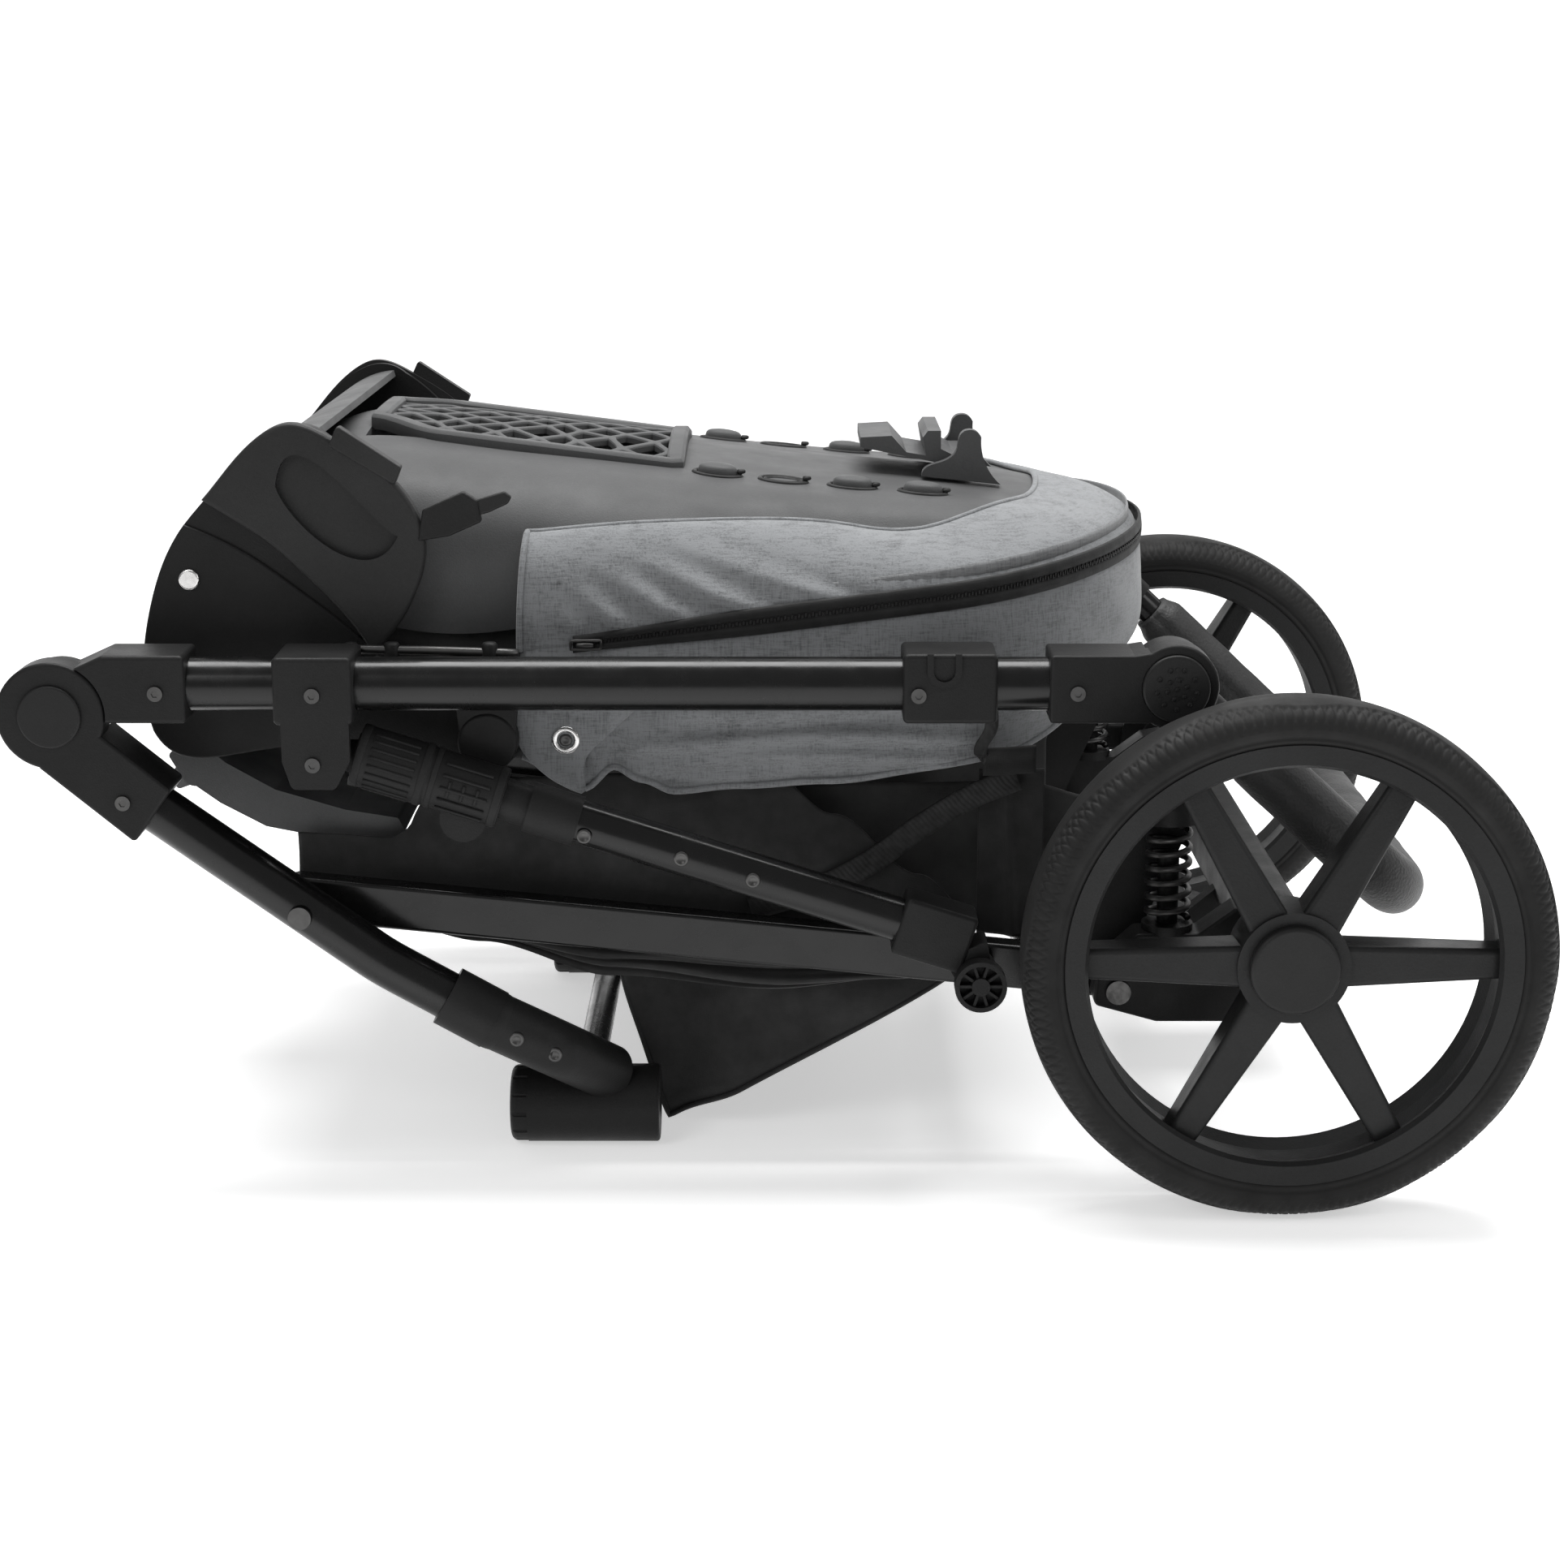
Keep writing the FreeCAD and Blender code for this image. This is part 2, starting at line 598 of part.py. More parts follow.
def tube_cutter():
    start = (UPPER_SOCKET_END - 20, PUSH_TUBE_Z)
    end = (HANDLE_SOCKET_START + 20, PUSH_TUBE_Z)
    return straight(start, end, PUSH_TUBE_RADIUS, SIDE_REACH)


def upper_knuckles():
    """The push frame's hinge discs, inside, with the sockets of the push tubes."""
    x, z = FOLD_HINGE
    outline = [
        (x + 8, z + 24),
        (x + 30, TUBE_HIGH),
        (UPPER_SOCKET_END, TUBE_HIGH),
        (UPPER_SOCKET_END, TUBE_LOW),
        (x + 30, TUBE_LOW),
        (x + 10, z + 2),
    ]
    socket = plate(outline, 206.5, 243.5, corner=2.5, soft=2.5)
    socket = socket.cut(disc(FOLD_HINGE, HINGE_DISC_RADIUS + 0.8, HINGE_SPLIT_REACH - 0.2, 250))
    knuckle = disc(FOLD_HINGE, HINGE_DISC_RADIUS - 3, 206.5, HINGE_SPLIT_REACH - 0.2)
    body = socket.fuse(knuckle).cut(tube_cutter())
    body = body.cut(disc(FOLD_HINGE, PIVOT_PIN_RADIUS, 200, 230))
    save("upper_knuckles", pair(body.removeSplitter()))


def hinge_pins():
    pin = disc(FOLD_HINGE, PIVOT_PIN_RADIUS, 206.5, 239.0)
    pin = pin.fuse(disc(FOLD_HINGE, 8.0, 203.5, 206.5))
    save("hinge_pins", pair(pin.removeSplitter()))


def strut_brackets():
    """Clamps on the push tubes, with lobes that cover the struts' upper ends."""
    low_x, high_x = -275.0, -231.5
    clamp = plate(
        [(low_x, TUBE_LOW), (high_x, TUBE_LOW), (high_x, TUBE_HIGH), (low_x, TUBE_HIGH)],
        206.0, 249.0, corner=3.0, soft=2.5)
    clamp = clamp.cut(tube_cutter())
    lobe = plate(
        [(low_x + 4, TUBE_LOW + 4), (low_x + 4, 250), (STRUT_TOP[0] - 12, 234), (STRUT_TOP[0] + 12, 234),
         (high_x - 2, 250), (high_x - 2, TUBE_LOW + 4)],
        243.8, 249.0, corner=4.0)
    save("strut_brackets", pair(clamp.fuse(lobe).removeSplitter()))


def hook_clamps():
    """Clamps on the push tubes near the handle, with an embossed hook shape."""
    low_x, high_x = 71.0, 123.0
    clamp = plate(
        [(low_x, TUBE_LOW), (high_x, TUBE_LOW), (high_x, TUBE_HIGH + 1), (low_x, TUBE_HIGH + 1)],
        206.0, 244.0, corner=3.0, soft=2.5)
    clamp = clamp.cut(tube_cutter())
    hook = disc((93.5, 300), 9.5, 243.0, 246.0).cut(disc((93.5, 300), 6.0, 242.0, 247.0))
    hook = hook.cut(Part.makeBox(30, 10, 20, point(80, -250, 300)))
    for x in (84.0, 99.5):
        hook = hook.fuse(Part.makeBox(3.5, 3, 9.5, point(x, -246, 300)))
    save("hook_clamps", pair(clamp.fuse(hook).removeSplitter()))


def handle_sockets():
    """Sockets at the push tubes' rear ends, with round housings for the buttons."""
    outline = [
        (HANDLE_SOCKET_START, TUBE_LOW),
        (HANDLE_SOCKET_START, TUBE_HIGH),
        (198, TUBE_HIGH),
        (HANDLE_PIVOT[0] - 10, HANDLE_PIVOT[1] + 20),
        (HANDLE_PIVOT[0] - 10, HANDLE_PIVOT[1] - 20),
        (198, TUBE_LOW),
    ]
    socket = plate(outline, 206.5, 243.0, corner=2.0, soft=1.8)
    socket = socket.cut(disc(HANDLE_PIVOT, HANDLE_DISC_RADIUS + 0.6, 200, 225.2))
    housing = disc(HANDLE_PIVOT, HANDLE_DISC_RADIUS, 225.2, 243.0)
    housing = housing.makeFillet(2.0, on_face(housing, 243.0))
    body = socket.fuse(housing)
    body = body.cut(disc(HANDLE_PIVOT, 19.0, 236.0, 244.0))
    body = body.cut(tube_cutter())
    body = body.cut(disc(HANDLE_PIVOT, PIVOT_PIN_RADIUS, 220, 236))
    save("handle_sockets", pair(body.removeSplitter()))


def handle_pins():
    save("handle_pins", pair(disc(HANDLE_PIVOT, PIVOT_PIN_RADIUS, 206.0, 236.0)))


def seat_adapters():
    """Round receivers under the push tubes that take the seat unit's hubs."""
    hub = disc(SEAT_HUB, 17.0, 188.5, 207.0)
    hub = hub.makeFillet(2.0, on_face(hub, 207.0))
    web = plate(
        [(SEAT_HUB[0] - 15, SEAT_HUB[1]), (SEAT_HUB[0] + 15, SEAT_HUB[1]),
         (SEAT_HUB[0] + 20, PUSH_TUBE_Z + 8), (SEAT_HUB[0] - 20, PUSH_TUBE_Z + 8)],
        196.0, 206.0, corner=2.0)
    saddle = plate(
        [(SEAT_HUB[0] - 20, TUBE_LOW + 4), (SEAT_HUB[0] + 20, TUBE_LOW + 4),
         (SEAT_HUB[0] + 20, PUSH_TUBE_Z + 8), (SEAT_HUB[0] - 20, PUSH_TUBE_Z + 8)],
        200.0, 214.0, corner=2.0)
    body = hub.fuse(web).fuse(saddle).cut(tube_cutter())
    save("seat_adapters", pair(body.removeSplitter()))


def frame_screws():
    """Socket screws seen on the push frame's outer faces."""
    heads = []
    heads += pair(screw_head((-340, 287), 243.5))
    heads += pair(screw_head((-253, 287), 249.0))
    heads += pair(screw_head(STRUT_TOP, 249.0))
    heads += pair(screw_head((79.5, 286), 244.0))
    heads += pair(screw_head((167, 287), 243.0))
    save("push_frame_screws", heads)


def leg_screws():
    """Screws and rivets seen on the front frame's outer faces."""
    heads = []
    heads += pair(screw_head((-361, 225), 243.0))
    save("front_frame_screws", heads)


# ---- handle -------------------------------------------------------------------
def handle_route(first):
    """The U of the handle in its own plane, from one arm to the other."""
    return [
        (first, -HANDLE_REACH, 0),
        (HANDLE_LENGTH, -HANDLE_REACH, 0),
        (HANDLE_LENGTH, HANDLE_REACH, 0),
        (first, HANDLE_REACH, 0),
    ]


def placed_handle(shape):
    """Turn a shape from the handle's own plane to its folded place."""
    shape.rotate(point(0, 0, 0), point(0, 1, 0), HANDLE_ANGLE)
    shape.translate(point(HANDLE_PIVOT[0], 0, HANDLE_PIVOT[1]))
    return shape


def handle():
    bow = tube(handle_route(20.0), HANDLE_TUBE_RADIUS, HANDLE_CORNER)
    save("handle_bow", [placed_handle(bow)])
    grip_route = handle_route(58.0)
    core = rod(grip_route, HANDLE_TUBE_RADIUS, HANDLE_CORNER)
    grip = rod(grip_route, GRIP_RADIUS, HANDLE_CORNER).cut(core)
    save("handle_grip", [placed_handle(grip)])
    eye = disc((0, 0), HANDLE_DISC_RADIUS - 1.5, 206.5, 224.8)
    root = straight((0, 0), (44, 0), 12.2, HANDLE_REACH)
    root = root.common(Part.makeBox(80, 18.3, 80, point(0, -224.8, -40)))
    root = root.fuse(straight((26, 0), (44, 0), 12.2, HANDLE_REACH))
    knuckle = eye.fuse(root)
    knuckle = knuckle.cut(straight((20, 0), (60, 0), 10.0, HANDLE_REACH))
    knuckle = knuckle.cut(disc((0, 0), PIVOT_PIN_RADIUS + RUNNING_GAP, 200, 230))
    knuckle = placed_handle(knuckle.removeSplitter())
    save("handle_knuckles", pair(knuckle))


def handle_buttons():
    button = disc(HANDLE_PIVOT, 18.7, 239.5, 246.0)
    button = button.makeFillet(1.5, on_face(button, 246.0))
    x, z = HANDLE_PIVOT
    for ring_radius, count in ((0.0, 1), (5.5, 4), (11.0, 6)):
        for index in range(count):
            turn = math.radians(360 / count * index + 90)
            dot = (x + ring_radius * math.cos(turn), z + ring_radius * math.sin(turn))
            button = button.fuse(disc(dot, 1.1, 245.5, 246.6))
    button = button.removeSplitter()
    save("handle_button_near", [button])
    save("handle_button_far", [mirrored(button)])


# ---- rear struts --------------------------------------------------------------
STRUT_LINE = ((-110.0, 210.0), (76.0, 151.0))


def strut_at(distance):
    """A point on the struts' centre line, by distance from the tube's upper end."""
    return on_line(STRUT_LINE[0], STRUT_LINE[1], distance)


SLEEVE_START = -131.0
SLEEVE_END = -30.0


def rear_struts():
    length = math.dist(*STRUT_LINE)
    start = strut_at(-24)
    end = strut_at(length)
    body = straight(start, end, STRUT_RADIUS, SIDE_REACH)
    body = body.cut(straight(start, end, STRUT_RADIUS - TUBE_WALL, SIDE_REACH))
    save("strut_tubes", pair(body))


def strut_heads():
    """Upper ends of the struts: an eye, a slide core and an adaptor on the tube."""
    eye = disc(STRUT_TOP, 12.0, 213.0, 237.0)
    neck = straight(STRUT_TOP, strut_at(-126), 9.0, SIDE_REACH)
    core = straight(strut_at(-130), strut_at(-20), 12.0, SIDE_REACH)
    adaptor = straight(strut_at(SLEEVE_END + 1), strut_at(0), 14.5, SIDE_REACH)
    body = eye.fuse(neck).fuse(core).fuse(adaptor)
    body = body.cut(straight(strut_at(-24), strut_at(40), STRUT_RADIUS, SIDE_REACH))
    body = body.cut(disc(STRUT_TOP, 5.0, 205, 245))
    save("strut_heads", pair(body.removeSplitter()))


def lock_sleeves():
    """Sliding lock sleeves round the strut heads, in two widths, with a push pad."""
    grip = straight(strut_at(-128), strut_at(-86), 17.6, SIDE_REACH)
    grip = grip.makeFillet(3.0, [edge for edge in grip.Edges if isinstance(edge.Curve, Part.Circle)])
    barrel = straight(strut_at(-88), strut_at(-44), 17.0, SIDE_REACH)
    body = grip.fuse(barrel)
    below = on_line(STRUT_LINE[0], STRUT_LINE[1], -62, -17)
    pad = disc(below, 13.0, 219, 231)
    body = body.fuse(pad)
    body = body.cut(straight(strut_at(-135), strut_at(-40), 12.3, SIDE_REACH))
    body = body.removeSplitter()
    save("lock_sleeve_near", [body])
    save("lock_sleeve_far", [mirrored(body)])


def strut_feet():
    """Lower ends of the struts, clamped on the tubes and turning on their pivots."""
    length = math.dist(*STRUT_LINE)
    outline = bar_outline(strut_at(length - 6), strut_at(length + 36), 17.0)
    clamp = plate(outline, 211.5, 239.0, corner=3.0, soft=2.5)
    lug = plate(
        [(STRUT_PIVOT[0] - 20, STRUT_PIVOT[1] + 12), (STRUT_PIVOT[0] - 9, STRUT_PIVOT[1] - 7),
         (STRUT_PIVOT[0] + 9, STRUT_PIVOT[1] - 7), (STRUT_PIVOT[0] + 4, STRUT_PIVOT[1] + 24)],
        213.0, 237.5, corner=3.0)
    boss = disc(STRUT_PIVOT, 11.0, 211.5, 239.2)
    body = clamp.fuse(lug).fuse(boss)
    body = body.cut(straight(strut_at(0), strut_at(length), STRUT_RADIUS, SIDE_REACH))
    body = body.cut(disc(STRUT_PIVOT, PIVOT_PIN_RADIUS + RUNNING_GAP, 205, 245))
    save("strut_feet", pair(body.removeSplitter()))


# ---- seat unit ----------------------------------------------------------------
SEAM = [
    (-333, 371), (-316, 364), (-294, 352), (-272, 336), (-250, 319), (-226, 296),
]
LOOP_TOP = [
    (-321, 386), (-305, 405), (-290, 420), (-272, 429), (-246, 420), (-217, 401),
    (-200, 378), (-196, 360), (-202, 334), (-211, 317), (-228, 298),
]
RIVET = (-331.0, 340.0)
PANEL_REACH = 180.5


def seat_side_plates():
    """Black side plates of the seat base, each with a raised lower panel."""
    inner, outer = SEAT_PLATE_REACH
    left = [(-356, 252), (-360, 275), (-359, 300), (-354, 325), (-345, 351), (-333, 371)]
    right = [(-226, 296), (-196, 283), (-168, 272), (-146, 262), (-146, 240), (-166, 234)]
    foot = [(-166, 234), (-210, 238), (-262, 244), (-310, 238), (-342, 238), (-356, 252)]
    panel = curved_plate([left, SEAM, right, foot], inner, PANEL_REACH, soft=1.2)
    rim = [(-345, 351), (-333, 371), (-319, 387), (-303, 405), (-288, 419), (-271, 427), (-250, 421)]
    back = [(-250, 421), (-222, 396), (-206, 362), (-214, 326), (-240, 306)]
    web = [(-240, 306), (-300, 330), (-345, 351)]
    body = panel.fuse(curved_plate([rim, back, web], inner, outer))
    body = body.fuse(disc(SEAT_HUB, 16.0, outer - 2, 188.0))
    save("seat_side_plates", pair(body.removeSplitter()))


def recline_loops():
    """D-shaped covers of the recline joints, each with an oval recess and a belt port."""
    inner, outer = PANEL_REACH + 0.2, 189.0
    under = [(-228, 298), (-244, 322), (-262, 341), (-286, 363), (-304, 375), (-321, 386)]
    body = curved_plate([LOOP_TOP, under], inner, outer, soft=2.6)
    recess_top = [(-279, 394), (-270, 411), (-240, 393), (-211, 366)]
    recess_low = [(-211, 366), (-225, 353), (-262, 369), (-279, 394)]
    body = body.cut(curved_plate([recess_top, recess_low], 184.0, 192.0))
    port = plate([(-248, 417), (-243, 428), (-208, 405), (-212, 395)], 183.0, 191.5, corner=1.5, soft=1.0)
    body = body.fuse(port)
    save("recline_loops", pair(body.removeSplitter()))


def seat_pan():
    """The seat's curved plastic bottom and rounded top end, between the side plates."""
    reach = SEAT_PLATE_REACH[0]
    outer = [
        (-352, 244), (-355, 275), (-353, 300), (-347, 330), (-333, 362),
        (-314, 386), (-298, 403), (-281, 416), (-258, 423),
    ]
    lip = [(-258, 423), (-257, 419)]
    inner = [
        (-257, 419), (-279, 411), (-294, 399), (-310, 382), (-328, 359),
        (-342, 328), (-348, 300), (-350, 275), (-347, 244),
    ]
    base = [(-347, 244), (-352, 244)]
    save("seat_pan", [curved_plate([outer, lip, inner, base], -reach, reach)])


def seat_rivets():
    """Bright rivets of the side plates."""
    head_reach = PANEL_REACH + 2.6
    body = disc(RIVET, 6.0, PANEL_REACH, head_reach)
    body = body.makeFillet(1.3, on_face(body, head_reach))
    save("seat_rivets", pair(body))


def shell_arch(x, top, half_width, bottom, inset):
    """One arch across the back shell, as (y, z) points on its skin or inside it."""
    width = half_width - inset
    high = top - inset
    return [
        point(x, -width, bottom),
        point(x, -width + 1, (bottom + high) / 2 - 8),
        point(x, -width + 9, high - 36),
        point(x, -width + 34, high - 15),
        point(x, -width * 0.5, high - 5.5),
        point(x, 0, high),
        point(x, width * 0.5, high - 5.5),
        point(x, width - 34, high - 15),
        point(x, width - 9, high - 36),
        point(x, width - 1, (bottom + high) / 2 - 8),
        point(x, width, bottom),
    ]


SHELL_STATIONS = [
    (-288.0, 397.0, 164.0, 330.0),
    (-258.0, 412.0, 167.0, 322.0),
    (-225.0, 414.0, 168.0, 312.0),
    (-120.0, 402.0, 168.0, 314.0),
    (-20.0, 391.0, 166.0, 322.0),
    (80.0, 382.0, 160.0, 326.0),
    (164.0, 373.0, 136.0, 322.0),
]


def back_shell():
    """The seat back's moulded shell, an arch lofted along the object."""
    wires = []
    for x, top, half_width, bottom in SHELL_STATIONS:
        skin = shell_arch(x, top, half_width, bottom, 0.0)
        lining = shell_arch(x, top, half_width, bottom, SHELL_THICKNESS)[::-1]
        skin_curve = Part.BSplineCurve()
        skin_curve.interpolate(skin)
        lining_curve = Part.BSplineCurve()
        lining_curve.interpolate(lining)
        edges = [
            skin_curve.toShape(),
            Part.LineSegment(skin[-1], lining[0]).toShape(),
            lining_curve.toShape(),
            Part.LineSegment(lining[-1], skin[0]).toShape(),
        ]
        wires.append(Part.Wire(edges))
    shell = Part.makeLoft(wires, True, False)
    left, right = VENT_X
    window = Part.makeBox(right - left, 2 * VENT_HALF_WIDTH, 60, point(left, -VENT_HALF_WIDTH, 375))
    shell = shell.cut(window)
    save("back_shell", [shell])


VENT_X = (-243.0, -55.0)
VENT_HALF_WIDTH = 78.0
VENT_TOP = (416.0, 397.0)
VENT_THICKNESS = 7.0
VENT_COLUMNS = 7
VENT_ROWS = 5
VENT_BAR = 5.0


def vent_panel():
    """The vent's raised frame and its bars, set in the shell's window."""
    left, right = VENT_X
    slab = plate(
        [(left, VENT_TOP[0]), (right, VENT_TOP[1]),
         (right, VENT_TOP[1] - VENT_THICKNESS), (left, VENT_TOP[0] - VENT_THICKNESS)],
        -VENT_HALF_WIDTH, VENT_HALF_WIDTH)
    pitch_x = (right - left) / VENT_COLUMNS
    pitch_y = 2 * VENT_HALF_WIDTH / VENT_ROWS
    for column in range(VENT_COLUMNS):
        for row in range(VENT_ROWS):
            corner = point(
                left + column * pitch_x + VENT_BAR / 2, -VENT_HALF_WIDTH + row * pitch_y + VENT_BAR / 2, 370)
            slab = slab.cut(Part.makeBox(pitch_x - VENT_BAR, pitch_y - VENT_BAR, 60, corner))
    save("vent_panel", [slab])


def seat_liner():
    """The padded lining under the back shell."""
    wires = []
    for x, top, half_width, _ in SHELL_STATIONS[1:-1]:
        high = top - SHELL_THICKNESS - 7.0
        half = half_width - 26.0
        outline = [
            (-half, high - 34), (-half + 20, high - 14), (0, high - 6), (half - 20, high - 14),
            (half, high - 34),
            (half - 12, high - 38), (half - 30, high - 26), (0, high - 18), (-half + 30, high - 26),
            (-half + 12, high - 38),
        ]
        corners = [point(x, y, z) for y, z in outline]
        wires.append(Part.makePolygon(corners + corners[:1]))
    save("seat_liner", [Part.makeLoft(wires, True, True)])


LEVER_PIN_RADIUS = 3.0
LEVER_EAR_REACH = (38.0, 46.0)


def lever_brackets():
    """The two raised lugs on the back shell that hold the recline lever."""
    inner, outer = LEVER_EAR_REACH
    skyline = [(station[0], station[1] - 0.6) for station in reversed(SHELL_STATIONS)]
    below_shell = plate([(-300, 300), (200, 300)] + skyline, -60, 60)
    hollow_side = [(92, 370), (94, 387), (103, 390), (110, 396), (112, 405), (115, 408)]
    crown = [(115, 408), (121, 408), (125, 404)]
    rear_side = [(125, 404), (126, 393), (131, 382), (146, 370)]
    base = [(146, 370), (92, 370)]
    ear = curved_plate([hollow_side, crown, rear_side, base], inner, outer)
    ear = ear.cut(disc(LEVER_PIVOT, LEVER_PIN_RADIUS + RUNNING_GAP, inner, outer)).cut(below_shell)
    save("lever_brackets", pair(ear.removeSplitter()))


def recline_lever():
    """The hooked lever that releases the recline, on its own pin."""
    inner, outer = LEVER_EAR_REACH
    x, z = LEVER_PIVOT
    outline = [
        (x - 65, z + 16), (x - 46, z + 17), (x - 37, z + 7), (x - 25, z + 5), (x - 27, z + 16),
        (x - 24, z + 20), (x - 16, z + 20), (x - 16, z + 9), (x - 8, z + 5), (x + 4, z + 5),
        (x + 4, z - 4), (x - 20, z + 1), (x - 65, z + 10),
    ]
    paddle = plate(outline, 0.4 - inner, inner - 0.4)
    pin = disc(LEVER_PIVOT, LEVER_PIN_RADIUS, -outer, outer)
    save("recline_lever", [paddle.fuse(pin).removeSplitter()])


# ---- canopy -------------------------------------------------------------------
CANOPY_REACH = 188.0
CANOPY_LEFT = -140.0
CANOPY_TURN_X = 90.0
CANOPY_RIGHT = 234.0


def canopy_loop(inset, left, z, pulled=0.0):
    """The canopy's plan at one height: straight sides and a round, pulled-in rear end."""
    reach = CANOPY_REACH - inset
    span = CANOPY_RIGHT - inset - pulled - CANOPY_TURN_X
    half_turn = []
    for share_x, share_y in ((0.0, 1.0), (0.42, 0.92), (0.78, 0.66)):
        half_turn.append((CANOPY_TURN_X + span * share_x, reach * share_y))
    near = [point(x, -y, z) for x, y in half_turn]
    far = [point(x, y, z) for x, y in reversed(half_turn)]
    curve = Part.BSplineCurve()
    curve.interpolate(near + [point(CANOPY_TURN_X + span, 0, z)] + far)
    corners = [point(left, -reach, z), near[0], far[-1], point(left, reach, z)]
    return Part.Wire([
        Part.LineSegment(corners[0], corners[1]).toShape(),
        curve.toShape(),
        Part.LineSegment(corners[2], corners[3]).toShape(),
        Part.LineSegment(corners[3], corners[0]).toShape(),
    ])


def canopy_block(left, low, high, inset=0.0, lean=0.0):
    """A solid with the canopy's plan, leaning in by some millimetres at the top."""
    return Part.makeLoft([canopy_loop(inset, left, low), canopy_loop(inset + lean, left, high)], True, True)


def canopy_dome(left, inset):
    """A solid with the canopy's plan, its rear end closing in over the shell."""
    levels = ((292.0, 0.0, 0.0), (345.0, 5.0, 4.0), (368.0, 13.0, 24.0), (386.0, 22.0, 58.0))
    loops = []
    for z, lean, pulled in levels:
        loops.append(canopy_loop(inset + lean, left, z, pulled))
    return Part.makeLoft(loops, True, False)


ZIP_LEFT = (-140.0, 300.0)
ZIP_RIGHT = (240.0, 349.0)


def above_zip(gap):
    """Everything above the slanting zip line, with a gap."""
    return plate(
        [(-400, ZIP_LEFT[1] + gap), (ZIP_LEFT[0], ZIP_LEFT[1] + gap), (ZIP_RIGHT[0], ZIP_RIGHT[1] + gap),
         (400, ZIP_RIGHT[1] + gap), (400, 700), (-400, 700)],
        -300, 300)


def canopy_rear():
    """The hood's upper band, round the back shell, down to the zip line."""
    wall = CANOPY_THICKNESS
    block = canopy_dome(CANOPY_LEFT, 0.0)
    hollow = canopy_dome(CANOPY_LEFT - 20, wall)
    over_shell = plate(
        [(-400, 352), (-140, 352), (44, 368), (120, 371), (165, 380), (400, 382), (400, 700), (-400, 700)],
        -300, 300)
    save("canopy_rear", [block.cut(hollow).common(above_zip(0.4)).cut(over_shell)])


def canopy_front():
    """The hood's lower band, from the zip line to its hem, open towards the seat."""
    wall = CANOPY_THICKNESS
    left = CANOPY_PIVOT[0] + 3.0
    block = canopy_block(left, 214.0, 352.0, lean=-0.5)
    hollow = canopy_block(left - 20, 210.0, 354.0, inset=wall, lean=-0.5)
    below_hem = plate(
        [(-400, 236), (-140, 236), (-60, 219), (80, 219), (240, 262), (400, 300), (400, 100), (-400, 100)],
        -300, 300)
    save("canopy_front", [block.cut(hollow).cut(above_zip(-0.4)).cut(below_hem)])


# ---- leg rest -----------------------------------------------------------------
def legrest():
    """The calf rest's curved band, hinged at the seat's front edge."""
    outline = [
        (-352, 236), (-330, 240), (-318, 230), (-290, 214), (-250, 202), (-219, 197),
        (-215, 189), (-220, 182),
        (-256, 184), (-296, 192), (-322, 206), (-344, 222),
    ]
    reach = 166.0
    band = plate(outline, -reach, reach, corner=2.5)
    core = plate(
        [(-325, 225), (-290, 205), (-250, 194), (-225, 190), (-256, 188), (-296, 198), (-325, 214)],
        -150, 150)
    barrel = disc(LEGREST_PIVOT, 8.0, -reach, reach)
    band = band.cut(core).fuse(barrel)
    tab_outline = [(-380, 190), (-372, 200), (-338, 224), (-318, 208), (-352, 190), (-374, 182)]
    tab = plate(tab_outline, -34, 34, corner=2.5)
    save("legrest", [band.fuse(tab).removeSplitter()])


# ---- build --------------------------------------------------------------------
def build_lower_frame():
    lower_rails()
    lower_cross_tube()
    spring_towers()
    pivot_pins()
    pivot_rollers()
    basket()


def build_carriage():
    suspension_arms()
    shock_springs()
    axle_beam()
    axle_shaft()
    brake_pedal()
    wheels()


def build_front_frame():
    front_legs()
    lower_knuckles()
    hinge_caps()
    leg_feet()
    stem_caps()
    front_cross_bar()
    leg_screws()


def build_push_frame():
    push_tubes()
    upper_knuckles()
    hinge_pins()
    strut_brackets()
    hook_clamps()
    handle_sockets()
    handle_pins()
    seat_adapters()
    frame_screws()
    handle()
    handle_buttons()


def build_struts():
    rear_struts()
    strut_heads()
    lock_sleeves()
    strut_feet()


def build_seat():
    seat_side_plates()
    recline_loops()
    seat_pan()
    seat_rivets()
    back_shell()
    vent_panel()
    seat_liner()
    lever_brackets()
    recline_lever()
    canopy_rear()
    canopy_front()
    legrest()


os.makedirs(OUT, exist_ok=True)
build_lower_frame()
build_carriage()
build_front_frame()
build_push_frame()
build_struts()
build_seat()
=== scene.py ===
import json
import math
import random

import bpy
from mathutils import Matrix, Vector, noise


